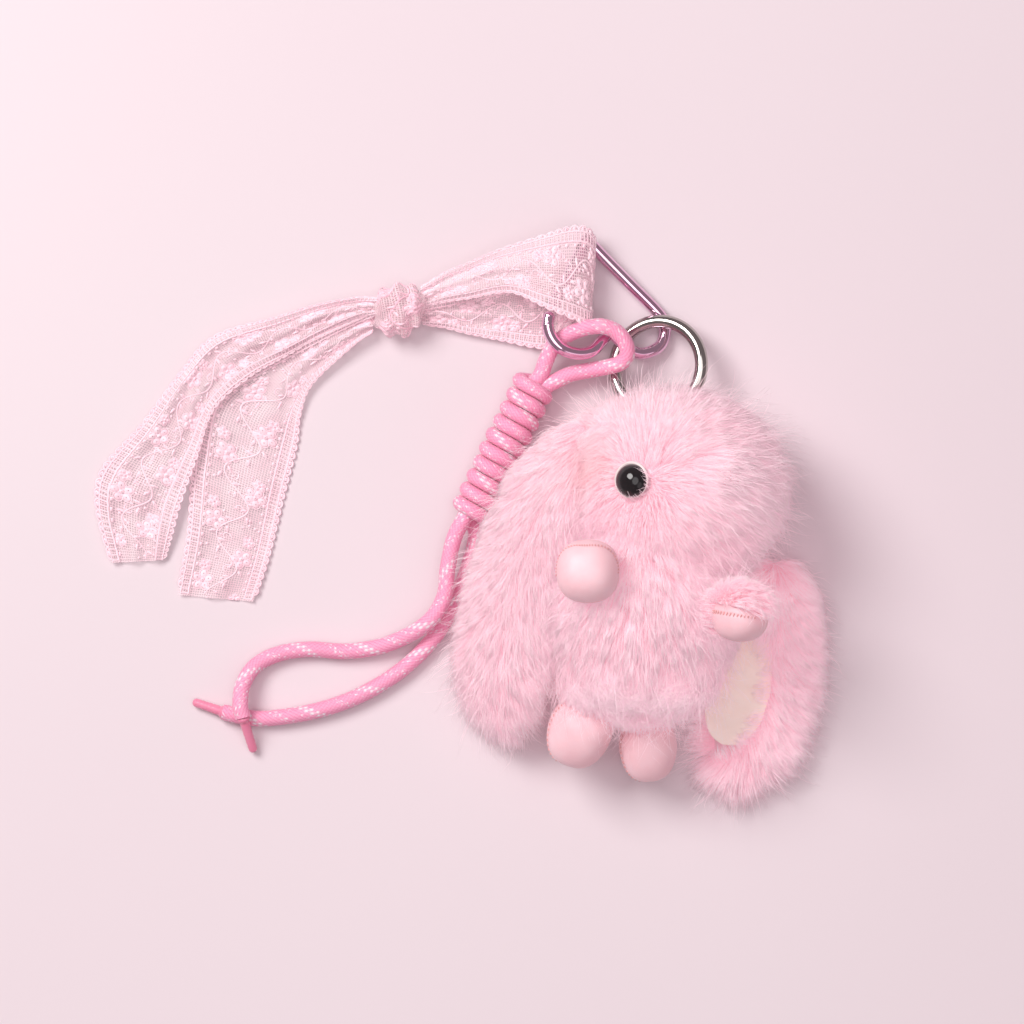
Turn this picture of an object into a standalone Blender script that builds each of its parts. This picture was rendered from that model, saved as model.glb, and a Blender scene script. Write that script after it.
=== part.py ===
"""Plush bunny bag charm, lying on its back: fur body, key ring, heart carabiner, cord and lace ribbon.

Metres, +Z up. The floor that it lies on is z = 0, and the origin is on the flat back of the plush.
Left and right are as seen from above, with the head towards +Y.
"""

import math

import bmesh
import bpy
from mathutils import Matrix, Quaternion, Vector

MM = 0.001
GAP = 0.3 * MM

# Plush
HEAD_CENTRE = Vector((9.3, 22.0, 22.5)) * MM
HEAD_RADII = Vector((25.5, 21.5, 24.0)) * MM
TORSO_CENTRE = Vector((0.0, -10.0, 18.5)) * MM
TORSO_RADII = Vector((23.5, 24.5, 22.5)) * MM
NECK_POINT = Vector((5.0, 6.5, 20.5)) * MM
BODY_LEAN = math.radians(-13)
EAR_ROOM, LIMB_ROOM = 0.5 * MM, 1.8 * MM
PELT = 2.5 * MM
PELT_SIDES, PELT_RINGS = 28, 14
EYE_RADIUS, EYE_HEIGHT = 4.5 * MM, 3.6 * MM
EYE_STEM_RADIUS, EYE_STEM_LENGTH = 1.5 * MM, 6.5 * MM
EYE_SPREAD_X, EYE_RISE = 11.9 * MM, 1.6 * MM
WASHER_RADIUS, WASHER_THICKNESS = 4.0 * MM, 1.0 * MM

# Key ring and the tape that holds it
RING_CENTRE = Vector((4.9, 54.4, 6.8)) * MM
RING_RADIUS, RING_WIRE = 12.2 * MM, 1.8 * MM
RING_SLOPE_X, RING_SLOPE_Y = 0.361, -0.12
TAPE_WIDTH, TAPE_THICKNESS = 5.0 * MM, 0.9 * MM
TAPE_INNER = 2.9 * MM

# Heart carabiner: a wire bent in one plane, which slopes up from its right corner
HEART_WIRE = 1.65 * MM
HEART_CORNER = Vector((6.4, 66.7, 1.75)) * MM
HEART_SLOPE_X, HEART_SLOPE_Y = -0.335, -0.13
HEART_OUTLINE = [
    (-11.2, 85.3), (-3.0, 77.0), (4.6, 69.4), (6.5, 66.4), (6.9, 63.4), (5.8, 60.4), (3.3, 58.6),
    (0.0, 57.9), (-3.3, 59.3), (-5.9, 61.8), (-8.0, 63.2), (-9.9, 61.4), (-12.2, 58.9), (-14.8, 57.8),
    (-18.0, 57.9), (-21.2, 59.2), (-23.6, 61.9), (-24.6, 65.2), (-24.0, 68.8),
]
HEART_APEX = (-13.9, 88.5)
GATE_GAP = 0.5 * MM
TONGUE = 1.1 * MM
GATE_SLOT, GATE_SLOT_DEPTH = 1.7 * MM, 4.2 * MM
PIN_RADIUS, PIN_HOLE = 0.45 * MM, 0.75 * MM
SPRING_OUTER, SPRING_INNER, SPRING_LENGTH = 0.8 * MM, 0.45 * MM, 7.0 * MM

# Cord
CORD_RADIUS = 2.15 * MM
WRAP_TOP, WRAP_BOTTOM = Vector((-28.2, 49.4, 5.5)) * MM, Vector((-44.6, 15.8, 5.5)) * MM
WRAP_RADIUS = 5.2 * MM
LOOP_ROUTE = [
    (-26.6, 51.9, 5.9), (-25.3, 55.2, 6.1), (-24.1, 58.0, 6.4), (-22.9, 60.1, 6.9), (-20.2, 62.2, 8.2),
    (-17.2, 63.7, 10.0), (-13.9, 64.7, 11.6), (-10.6, 65.0, 12.0), (-7.4, 64.2, 11.5), (-4.9, 62.2, 11.0),
    (-3.5, 59.5, 10.4), (-3.6, 57.0, 9.6), (-5.5, 55.1, 8.6), (-9.3, 54.1, 7.4), (-13.9, 53.3, 6.5),
    (-18.6, 52.3, 5.9), (-22.4, 50.5, 5.5), (-24.9, 49.1, 5.2),
]
TAIL_A_ROUTE = [
    (-46.6, 14.4, 6.6), (-49.6, 8.4, 6.9), (-51.3, 0.5, 7.0), (-52.3, -7.3, 7.0), (-57.0, -14.3, 6.8),
    (-67.2, -19.8, 3.4), (-77.9, -21.8, 2.3), (-88.3, -21.3, 2.3), (-96.3, -22.4, 2.3),
    (-102.6, -25.5, 3.0), (-106.0, -30.6, 5.2), (-106.7, -36.0, 6.9), (-105.9, -39.4, 6.8),
]
TAIL_B_ROUTE = [
    (-44.6, 14.0, 3.0), (-43.7, 9.5, 2.3), (-45.0, 3.5, 2.25), (-47.2, -3.2, 2.25), (-51.4, -12.6, 2.25),
    (-56.9, -20.4, 2.25), (-64.9, -27.7, 2.25), (-75.2, -33.8, 2.25), (-85.9, -37.6, 2.25),
    (-96.3, -39.5, 2.25), (-102.7, -39.8, 2.25), (-108.0, -39.0, 2.25), (-111.7, -38.0, 2.25),
]
AGLET_RADIUS = 1.15 * MM
AGLET_A = ((-105.7, -40.4, 6.2), (-103.3, -48.8, 1.6))
AGLET_B = ((-112.3, -37.8, 2.1), (-119.7, -35.3, 1.5))

# Lace ribbon
LACE_FRONT = [
    ((-57.2, 76.4), (-57.0, 71.0)), ((-46.0, 81.8), (-46.0, 73.0)), ((-37.3, 85.3), (-34.7, 75.6)),
    ((-25.0, 88.6), (-25.3, 74.0)), ((-19.0, 89.6), (-17.3, 71.0)), ((-16.2, 86.5), (-13.8, 72.4)),
]
LACE_BACK = [
    ((-57.0, 70.2), (-56.4, 65.6)), ((-46.0, 72.5), (-46.0, 64.0)), ((-34.7, 76.0), (-37.3, 62.5)),
    ((-24.0, 80.5), (-25.3, 60.6)), ((-17.2, 86.0), (-15.8, 65.6)), ((-15.4, 80.0), (-14.6, 70.0)),
]
LACE_KNOT_CENTRE, LACE_KNOT_RADII = Vector((-64.5, 69.6, 5.8)) * MM, Vector((7.0, 6.4, 5.2)) * MM
LACE_TAIL_UPPER = [
    ((-72.5, 72.5), (-73.0, 68.6)), ((-93.3, 68.0), (-92.5, 59.0)), ((-113.5, 61.3), (-104.0, 53.0)),
    ((-122.0, 52.0), (-116.5, 47.0)), ((-133.3, 37.0), (-119.5, 34.0)), ((-143.6, 26.5), (-124.0, 20.0)),
    ((-144.8, 18.0), (-126.0, 12.0)), ((-141.0, 2.5), (-128.5, 3.4)),
]
LACE_TAIL_LOWER = [
    ((-72.5, 67.5), (-73.9, 62.5)), ((-92.0, 57.5), (-88.0, 49.6)), ((-116.2, 46.0), (-91.5, 34.1)),
    ((-121.0, 22.0), (-97.0, 12.0)), ((-123.8, -7.2), (-103.2, -8.8)),
]
LACE_THICKNESS = 1.3 * MM
LACE_CLEAR = 0.9 * MM                       # between a layer of the loop and the wire it goes round
LACE_KNOT_X, LACE_SPREAD = -56.0, 34.0      # where the loop leaves its knot, and how far it takes to open
LACE_FRONT_LOW, LACE_BACK_LOW, LACE_BACK_HIGH = 6.2 * MM, 3.0 * MM, 4.0 * MM
LACE_REST = 0.2 * MM

# Finishes: colour, roughness, metallic
FINISHES = {
    "fur": ((0.93, 0.62, 0.70), 0.95, 0.0),
    "stuffing": ((0.90, 0.89, 0.86), 1.0, 0.0),
    "paw_leather": ((0.93, 0.66, 0.66), 0.5, 0.0),
    "ear_lining": ((0.86, 0.80, 0.73), 0.8, 0.0),
    "eye": ((0.01, 0.01, 0.012), 0.08, 0.0),
    "washer": ((0.85, 0.85, 0.85), 0.5, 0.0),
    "tape": ((0.92, 0.60, 0.68), 0.9, 0.0),
    "ring": ((0.55, 0.54, 0.52), 0.15, 1.0),
    "heart": ((0.86, 0.62, 0.76), 0.12, 1.0),
    "spring": ((0.6, 0.6, 0.6), 0.3, 1.0),
    "cord": ((0.87, 0.30, 0.47), 0.7, 0.0),
    "aglet": ((0.83, 0.35, 0.48), 0.35, 0.0),
    "lace": ((0.95, 0.76, 0.80), 0.85, 0.0),
}


def clear_scene():
    for old in list(bpy.data.objects):
        bpy.data.objects.remove(old, do_unlink=True)


def make_finishes():
    for name, (colour, roughness, metallic) in FINISHES.items():
        material = bpy.data.materials.new(name)
        material.use_nodes = True
        shader = material.node_tree.nodes["Principled BSDF"]
        shader.inputs["Base Color"].default_value = (*colour, 1.0)
        shader.inputs["Roughness"].default_value = roughness
        shader.inputs["Metallic"].default_value = metallic


def add_object(name, data, finish=None, parent=None):
    thing = bpy.data.objects.new(name, data)
    bpy.context.scene.collection.objects.link(thing)
    if finish:
        data.materials.append(bpy.data.materials[finish])
    if parent:
        thing.parent = parent
    return thing


def add_mesh(name, build, finish, parent=None):
    """An object whose mesh build() fills, with smooth faces and sharp edges past 40 degrees."""
    mesh = bpy.data.meshes.new(name)
    shape = bmesh.new()
    build(shape)
    bmesh.ops.recalc_face_normals(shape, faces=shape.faces)
    shape.to_mesh(mesh)
    shape.free()
    mesh.shade_smooth()
    mesh.set_sharp_from_angle(angle=math.radians(40))
    return add_object(name, mesh, finish, parent)


def pivot(name, place):
    """An empty on a joint's axis, which the joint's pieces hang from."""
    empty = bpy.data.objects.new(name, None)
    empty.location = place
    empty.empty_display_size = 5 * MM
    bpy.context.scene.collection.objects.link(empty)
    bpy.context.view_layer.update()
    return empty


def hang(thing, empty):
    """Parents a piece to a pivot and leaves it where it is."""
    thing.parent = empty
    thing.matrix_parent_inverse = empty.matrix_world.inverted()


def cutter(thing):
    thing.hide_render = True
    thing.display_type = "WIRE"
    return thing


def boolean(thing, other, operation="DIFFERENCE", solver="EXACT"):
    modifier = thing.modifiers.new(operation.title(), "BOOLEAN")
    modifier.operation = operation
    modifier.solver = solver
    modifier.object = other


def rings_to_faces(shape, rings):
    """Quads between rings of vertices, each ring a closed loop of the same length."""
    for lower, upper in zip(rings, rings[1:]):
        for i in range(len(lower)):
            j = (i + 1) % len(lower)
            shape.faces.new((lower[i], lower[j], upper[j], upper[i]))


def fan(shape, ring, tip):
    for i in range(len(ring)):
        shape.faces.new((ring[i], ring[(i + 1) % len(ring)], tip))


def lean_frame():
    """The plush's own axes: its long axis leans to the right of +Y."""
    return Quaternion((0, 0, 1), BODY_LEAN).to_matrix()


def body_half(centre, radii, direction, inset, floor):
    """Rings of an ellipsoid from its far end to the neck plane. inset shrinks it, floor flattens its back."""
    frame = lean_frame()
    along = direction * (frame @ Vector((0, 1, 0)))
    side = frame @ Vector((1, 0, 0))
    reach = radii.y - inset
    neck = (NECK_POINT - centre).dot(along) - GAP / 2
    lowest = math.asin(max(-1.0, min(1.0, neck / reach)))
    rings = []
    for k in range(1, PELT_RINGS + 1):
        angle = -math.pi / 2 + (lowest + math.pi / 2) * k / PELT_RINGS
        middle = centre + along * (reach * math.sin(angle))
        ring = []
        for i in range(PELT_SIDES):
            turn = 2 * math.pi * i / PELT_SIDES
            point = middle + side * ((radii.x - inset) * math.cos(angle) * math.cos(turn))
            point.z += (radii.z - inset) * math.cos(angle) * math.sin(turn)
            point.z = max(point.z, floor)
            ring.append(point)
        rings.append(ring)
    return centre - along * reach, rings


def make_pelt(name, centre, radii, direction):
    """A fur skin of even thickness, open at the neck."""

    def build(shape):
        outer_tip, outer = body_half(centre, radii, direction, 0.0, 0.0)
        inner_tip, inner = body_half(centre, radii, direction, PELT, PELT)
        rings = [[shape.verts.new(p) for p in ring] for ring in outer + inner[::-1]]
        fan(shape, rings[0][::-1], shape.verts.new(outer_tip))
        rings_to_faces(shape, rings)
        fan(shape, rings[-1], shape.verts.new(inner_tip))

    return add_mesh(name, build, "fur")


def make_stuffing(name, centre, radii, direction):
    def build(shape):
        inset = PELT + 1.6 * GAP
        tip, rings = body_half(centre, radii, direction, inset, inset)
        rings = [[shape.verts.new(p) for p in ring] for ring in rings]
        fan(shape, rings[0][::-1], shape.verts.new(tip))
        rings_to_faces(shape, rings)
        fan(shape, rings[-1], shape.verts.new(sum((v.co for v in rings[-1]), Vector()) / PELT_SIDES))

    return add_mesh(name, build, "stuffing")


def grown_ellipsoid(name, centre, radii, grow):
    """A guide a little larger than a neighbour, which cuts room for it."""

    def build(shape):
        bmesh.ops.create_uvsphere(shape, u_segments=28, v_segments=16, radius=1.0)
        scale = Matrix.Diagonal((*(radii + Vector((grow, grow, grow))), 1.0))
        turn = lean_frame().to_4x4()
        bmesh.ops.transform(shape, matrix=Matrix.Translation(centre) @ turn @ scale, verts=shape.verts)

    return cutter(add_mesh(name, build, "stuffing"))


def cylinder(name, start, end, radius, finish, sides=20, parent=None):
    def build(shape):
        axis = end - start
        turn = Vector((0, 0, 1)).rotation_difference(axis).to_matrix().to_4x4()
        middle = Matrix.Translation((start + end) / 2)
        bmesh.ops.create_cone(
            shape, cap_ends=True, segments=sides, radius1=radius, radius2=radius, depth=axis.length,
            matrix=middle @ turn,
        )

    return add_mesh(name, build, finish, parent)


def turned(name, profile, place, axis, finish, sides=24):
    """A solid turned round axis from (distance along, radius) pairs, first and last on the axis."""

    def build(shape):
        turn = Vector((0, 0, 1)).rotation_difference(axis).to_matrix()
        rings = []
        for along, radius in profile[1:-1]:
            ring = []
            for i in range(sides):
                angle = 2 * math.pi * i / sides
                local = Vector((radius * math.cos(angle), radius * math.sin(angle), along))
                ring.append(shape.verts.new(place + turn @ local))
            rings.append(ring)
        fan(shape, rings[0][::-1], shape.verts.new(place + turn @ Vector((0, 0, profile[0][0]))))
        rings_to_faces(shape, rings)
        fan(shape, rings[-1], shape.verts.new(place + turn @ Vector((0, 0, profile[-1][0]))))

    return add_mesh(name, build, finish)


def tongue(name, stations, normal, finish, sides=16, floor=0.0):
    """A flat swept solid: stations are (centre, half width, half thickness) in millimetres."""
    points = [Vector(place) * MM for place, _, _ in stations]

    def build(shape):
        rings = []
        for k, (_, wide, thick) in enumerate(stations):
            along = (points[min(k + 1, len(points) - 1)] - points[max(k - 1, 0)]).normalized()
            across = along.cross(normal).normalized()
            up = across.cross(along).normalized()
            ring = []
            for i in range(sides):
                angle = 2 * math.pi * i / sides
                p = points[k] + across * (wide * MM * math.cos(angle)) + up * (thick * MM * math.sin(angle))
                p.z = max(p.z, floor)
                ring.append(shape.verts.new(p))
            rings.append(ring)
        for ring in (rings[0][::-1], rings[-1]):
            fan(shape, ring, shape.verts.new(sum((v.co for v in ring), Vector()) / sides))
        rings_to_faces(shape, rings)

    return add_mesh(name, build, finish)


def slab(name, stations, low, thickness, finish):
    """A sheet between two edges: stations are pairs of edge points, and low(x, y) is its underside's height."""

    def build(shape):
        rings = []
        for (x1, y1), (x2, y2) in stations:
            lower = [shape.verts.new((x * MM, y * MM, low(x, y))) for x, y in ((x1, y1), (x2, y2))]
            upper = [shape.verts.new(v.co + Vector((0, 0, thickness))) for v in lower[::-1]]
            rings.append(lower + upper)
        rings_to_faces(shape, rings)
        shape.faces.new(rings[0][::-1])
        shape.faces.new(rings[-1])
        bmesh.ops.triangulate(shape, faces=shape.faces[:])

    return add_mesh(name, build, finish)


def smooth_route(points, spacing):
    """Points at even steps along a smooth curve through a route's own points."""
    ends = [points[0] * 2 - points[1], *points, points[-1] * 2 - points[-2]]
    fine = []
    for a, b, c, d in zip(ends, ends[1:], ends[2:], ends[3:]):
        for k in range(12):
            t = k / 12
            fine.append(
                0.5 * (2 * b + (c - a) * t + (2 * a - 5 * b + 4 * c - d) * t**2 + (3 * b - a - 3 * c + d) * t**3)
            )
    fine.append(points[-1].copy())
    total = sum((q - p).length for p, q in zip(fine, fine[1:]))
    count = max(2, round(total / spacing))
    picked, gone, target = [fine[0]], 0.0, total / count
    for p, q in zip(fine, fine[1:]):
        step = (q - p).length
        while gone + step >= target * len(picked) and len(picked) < count:
            picked.append(p.lerp(q, (target * len(picked) - gone) / step))
        gone += step
    return picked + [fine[-1]]


def tube(name, points, radius, finish, resolution=3, closed=False, parent=None):
    curve = bpy.data.curves.new(name, "CURVE")
    curve.dimensions = "3D"
    curve.bevel_depth = radius
    curve.bevel_resolution = resolution
    curve.use_fill_caps = not closed
    spline = curve.splines.new("POLY")
    spline.points.add(len(points) - 1)
    for slot, place in zip(spline.points, points):
        slot.co = (*place, 1.0)
    spline.use_cyclic_u = closed
    spline.use_smooth = True
    return add_object(name, curve, finish, parent)


def head_surface(x, y):
    """Point and outward normal on the front of the head, at a place seen from above."""
    turn = lean_frame()
    local = turn.transposed() @ (Vector((x, y, 0)) - Vector((HEAD_CENTRE.x, HEAD_CENTRE.y, 0)))
    u, v = local.x / HEAD_RADII.x, local.y / HEAD_RADII.y
    w = math.sqrt(1 - u * u - v * v)
    point = HEAD_CENTRE + turn @ Vector((u * HEAD_RADII.x, v * HEAD_RADII.y, w * HEAD_RADII.z))
    normal = turn @ Vector((u / HEAD_RADII.x, v / HEAD_RADII.y, w / HEAD_RADII.z))
    return point, normal.normalized()


def make_eye(side, head_pelt, stuffing):
    """A safety eye: a dome on a stem through the pelt, and its washer inside the head."""
    sign = {"left": -1, "right": 1}[side]
    point, normal = head_surface(HEAD_CENTRE.x + sign * EYE_SPREAD_X, HEAD_CENTRE.y + EYE_RISE)
    back = 0.4 * MM
    profile = [(-EYE_STEM_LENGTH, 0), (-EYE_STEM_LENGTH, EYE_STEM_RADIUS), (back, EYE_STEM_RADIUS)]
    profile.append((back, EYE_RADIUS))
    for k in range(1, 6):
        angle = math.pi / 2 * k / 6
        profile.append((back + 0.5 * MM + EYE_HEIGHT * math.sin(angle), EYE_RADIUS * math.cos(angle)))
    profile.append((back + 0.5 * MM + EYE_HEIGHT, 0))
    eye = turned("eye_" + side, profile, point, normal, "eye")
    hole = cylinder("eye_hole_" + side, point - normal * 4 * MM, point + normal * 2 * MM,
                    EYE_STEM_RADIUS + GAP, "stuffing")
    boolean(head_pelt, cutter(hole))
    face = PELT + 0.9 * MM
    washer = cylinder("eye_washer_" + side, point - normal * face,
                      point - normal * (face + WASHER_THICKNESS), WASHER_RADIUS, "washer")
    bore = cylinder("washer_bore_" + side, point - normal * (face + 2 * WASHER_THICKNESS), point,
                    EYE_STEM_RADIUS + GAP, "stuffing")
    boolean(washer, cutter(bore))
    room = cylinder("eye_room_" + side, point - normal * (EYE_STEM_LENGTH + GAP), point,
                    WASHER_RADIUS + GAP, "stuffing")
    boolean(stuffing, cutter(room))


def make_body():
    head = make_pelt("head_pelt", HEAD_CENTRE, HEAD_RADII, -1)
    make_pelt("torso_pelt", TORSO_CENTRE, TORSO_RADII, 1)
    head_fill = make_stuffing("head_stuffing", HEAD_CENTRE, HEAD_RADII, -1)
    make_stuffing("torso_stuffing", TORSO_CENTRE, TORSO_RADII, 1)
    for side in ("left", "right"):
        make_eye(side, head, head_fill)


def make_ears(room):
    """Each ear is a fur pelt with a leather lining on its inner face."""
    left_normal = Vector((-0.5, 0.1, 0.86))
    left = tongue(
        "ear_left_pelt",
        [((-15.0, 38.0, 33.0), 4.0, 2.6), ((-20.5, 29.5, 32.0), 8.0, 3.8), ((-27.0, 14.0, 28.0), 10.0, 4.2),
         ((-32.0, -2.0, 22.5), 11.0, 4.2), ((-35.5, -18.0, 17.0), 11.5, 4.2), ((-36.5, -31.0, 12.5), 10.5, 3.8),
         ((-35.0, -39.5, 9.5), 6.0, 2.6)],
        left_normal, "fur",
    )
    inner = left_normal.normalized() * -5.4
    left_lining = tongue(
        "ear_left_lining",
        [(Vector((-33.2, -8.0, 20.0)) + inner, 4.5, 0.5), (Vector((-35.0, -17.0, 17.0)) + inner, 7.0, 0.5),
         (Vector((-36.0, -27.0, 13.6)) + inner, 6.5, 0.5), (Vector((-35.8, -33.0, 11.6)) + inner, 4.0, 0.5)],
        left_normal, "ear_lining",
    )
    right_normal = Vector((0, 0, 1))
    right = tongue(
        "ear_right_pelt",
        [((36.0, 2.0, 9.0), 5.0, 3.0), ((36.0, -6.0, 7.0), 8.5, 3.5), ((34.5, -17.0, 3.6), 11.0, 3.3),
         ((32.0, -30.0, 3.2), 12.5, 3.1), ((29.0, -42.0, 3.1), 12.0, 3.0), ((26.0, -50.0, 3.0), 9.5, 2.8),
         ((24.5, -55.0, 2.8), 5.0, 2.0)],
        right_normal, "fur",
    )
    right_lining = tongue(
        "ear_right_lining",
        [((30.0, -14.5, 7.9), 3.5, 0.5), ((28.8, -23.0, 7.4), 6.0, 0.5), ((26.5, -33.0, 7.1), 7.2, 0.5),
         ((24.0, -41.0, 7.0), 7.0, 0.5), ((22.0, -46.5, 6.9), 4.0, 0.5)],
        right_normal, "ear_lining",
    )
    for ear in (left, left_lining, right):
        for guide in room:
            boolean(ear, guide)
    for place, pieces in ((Vector((-15, 38, 33)), (left, left_lining)), (Vector((36, 2, 9)), (right, right_lining))):
        empty = pivot(pieces[0].name + "_pivot", place * MM)
        for piece in pieces:
            hang(piece, empty)


def limb(name, cap_name, root, tip, sleeve_radius, cap_radii, cap_reach, room):
    """A stub of fur sleeve along root to tip, and a stuffed leather cap on its end."""
    axis = (tip - root).normalized()
    length = (tip - root).length
    sleeve = turned(
        name,
        [(0, 0), (0, sleeve_radius), (length - 1.5 * MM, sleeve_radius * 0.9), (length, sleeve_radius * 0.65),
         (length, 0)],
        root, axis, "fur", 20,
    )
    profile = []
    for k in range(9):
        angle = math.pi * k / 8
        bulge = cap_radii * math.sin(angle) ** 0.8
        profile.append((length + GAP + cap_reach * (1 - math.cos(angle)) / 2, bulge))
    profile[0], profile[-1] = (profile[0][0], 0), (profile[-1][0], 0)
    profile.insert(1, (profile[0][0], sleeve_radius * 0.6))
    cap = turned(cap_name, profile, root, axis, "paw_leather", 20)
    for guide in room:
        boolean(sleeve, guide)
    empty = pivot(name + "_pivot", root)
    for piece in (sleeve, cap):
        hang(piece, empty)


def make_limbs(room):
    limb("arm_left_sleeve", "paw_left", Vector((-11.5, -2.6, 27)) * MM, Vector((-13.6, -0.6, 41.5)) * MM,
         6.5 * MM, 8.3 * MM, 12.5 * MM, room)
    limb("arm_right_sleeve", "paw_right", Vector((12.5, -9.6, 29)) * MM, Vector((21.4, -10.9, 38.2)) * MM,
         6.0 * MM, 6.9 * MM, 13.0 * MM, room)
    limb("leg_left_sleeve", "foot_left", Vector((-9.5, -24, 21)) * MM, Vector((-13.8, -36.0, 18.8)) * MM,
         7.0 * MM, 8.6 * MM, 16.5 * MM, room)
    limb("leg_right_sleeve", "foot_right", Vector((0.6, -26, 18)) * MM, Vector((1.6, -40.5, 15.0)) * MM,
         6.2 * MM, 7.7 * MM, 15.5 * MM, room)


def make_ring(head_room):
    """A closed wire ring in a sloping plane, and the tape loop that holds its lowest point."""
    normal = Vector((-RING_SLOPE_X, -RING_SLOPE_Y, 1)).normalized()
    turn = Vector((0, 0, 1)).rotation_difference(normal)
    points = []
    for k in range(36):
        angle = 2 * math.pi * k / 36
        points.append(RING_CENTRE + turn @ (Vector((math.cos(angle), math.sin(angle), 0)) * RING_RADIUS))
    ring = tube("key_ring", points, RING_WIRE, "ring", 3, True)
    held = min(points, key=lambda p: p.y)
    hang(ring, pivot("key_ring_pivot", held))

    def build(shape):
        across = Vector((1, 0, RING_SLOPE_X)).normalized()
        back = Vector((0, -1, 0.45)).normalized()
        up = across.cross(back).normalized()
        leg = 11 * MM
        outline = []
        for reach in (TAPE_INNER + TAPE_THICKNESS, TAPE_INNER):
            arc = [Vector((reach * math.cos(a), reach * math.sin(a))) for a in
                   (math.pi / 2 + math.pi * k / 8 for k in range(9))]
            arc = [Vector((leg, reach))] + arc + [Vector((leg, -reach))]
            outline.append(arc)
        loop = outline[0] + outline[1][::-1]
        sides = []
        for offset in (-TAPE_WIDTH / 2, TAPE_WIDTH / 2):
            sides.append([shape.verts.new(held + across * offset + back * p.x + up * p.y) for p in loop])
        shape.faces.new(sides[0])
        shape.faces.new(sides[1][::-1])
        rings_to_faces(shape, sides)
        bmesh.ops.triangulate(shape, faces=[f for f in shape.faces if len(f.verts) > 4], ngon_method="EAR_CLIP")

    tape = add_mesh("hanging_tape", build, "tape")
    for guide in head_room:
        boolean(tape, guide, solver="MANIFOLD")


def heart_point(x, y):
    """A place on the heart's sloping plane, in metres, from x and y in millimetres."""
    z = HEART_CORNER.z + HEART_SLOPE_X * (x * MM - HEART_CORNER.x) + HEART_SLOPE_Y * (y * MM - HEART_CORNER.y)
    return Vector((x * MM, y * MM, z))


def heart_box(name, place, along, size):
    """A block on the heart's plane, its length along a direction in that plane."""
    normal = Vector((-HEART_SLOPE_X, -HEART_SLOPE_Y, 1)).normalized()
    across = normal.cross(along).normalized()
    turn = Matrix((along, across, normal)).transposed().to_4x4()

    def build(shape):
        bmesh.ops.create_cube(shape, size=1.0)
        bmesh.ops.transform(shape, matrix=Matrix.Translation(place) @ turn @ Matrix.Diagonal((*size, 1.0)),
                            verts=shape.verts)

    return add_mesh(name, build, "heart")


def make_carabiner():
    """A bent wire frame with a tongue at its apex, and a tubular gate forked over the tongue."""
    normal = Vector((-HEART_SLOPE_X, -HEART_SLOPE_Y, 1)).normalized()
    apex, nose = heart_point(*HEART_APEX), heart_point(*HEART_OUTLINE[-1])
    along = (nose - apex).normalized()
    bar = (heart_point(*HEART_OUTLINE[0]) - apex).normalized()
    route = [apex + bar * 3.3 * MM] + [heart_point(x, y) for x, y in HEART_OUTLINE]
    frame_points = smooth_route(route, 2.4 * MM)
    wire_guide = tube("heart_wire_guide", frame_points, HEART_WIRE, "heart", 3)
    depsgraph = bpy.context.evaluated_depsgraph_get()
    wire_mesh = bpy.data.meshes.new_from_object(wire_guide.evaluated_get(depsgraph))
    bpy.data.objects.remove(wire_guide, do_unlink=True)
    weld = bmesh.new()
    weld.from_mesh(wire_mesh)
    bmesh.ops.remove_doubles(weld, verts=weld.verts, dist=0.01 * MM)
    bmesh.ops.recalc_face_normals(weld, faces=weld.faces)
    weld.to_mesh(wire_mesh)
    weld.free()
    frame = add_object("heart_frame", wire_mesh, None)
    lug = heart_box("frame_lug", apex + bar * 2.4 * MM, bar, (4.4 * MM, 2.6 * MM, TONGUE))
    boss = cylinder("frame_boss", apex - normal * TONGUE / 2, apex + normal * TONGUE / 2, 1.5 * MM, "heart")
    hole = cylinder("frame_pin_hole", apex - normal * 3 * MM, apex + normal * 3 * MM, PIN_HOLE, "heart")
    for other in (lug, boss):
        boolean(frame, cutter(other), "UNION")
    boolean(frame, cutter(hole))

    gate_end = nose - along * (HEART_WIRE + GATE_GAP)
    gate = cylinder("heart_gate", apex - along * 1.6 * MM, gate_end + along * 1.1 * MM, HEART_WIRE, "heart", 16)
    slot = heart_box("gate_slot", apex + along * (GATE_SLOT_DEPTH / 2 - 1.5 * MM), along,
                     (GATE_SLOT_DEPTH + 3 * MM, 8 * MM, GATE_SLOT))
    bore = cylinder("gate_bore", apex + along * 1 * MM, apex + along * (GATE_SLOT_DEPTH + 9 * MM), 1.05 * MM, "heart")
    gate_hole = cylinder("gate_pin_hole", apex - normal * 3 * MM, apex + normal * 3 * MM, PIN_HOLE, "heart")
    for other in (slot, bore, gate_hole):
        boolean(gate, cutter(other))
    pin = cylinder("gate_pin", apex - normal * 1.5 * MM, apex + normal * 1.5 * MM, PIN_RADIUS, "spring")
    start = apex + along * (GATE_SLOT_DEPTH + 0.8 * MM)
    spring = cylinder("gate_spring", start, start + along * SPRING_LENGTH, SPRING_OUTER, "spring", 14)
    core = cylinder("spring_core", start - along * MM, start + along * (SPRING_LENGTH + MM), SPRING_INNER, "spring", 14)
    boolean(spring, cutter(core))
    empty = pivot("heart_gate_pivot", apex)
    for piece in (gate, spring):
        hang(piece, empty)
    hang(frame, pivot("heart_pivot", HEART_CORNER))
    hang(pin, bpy.data.objects["heart_pivot"])


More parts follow.
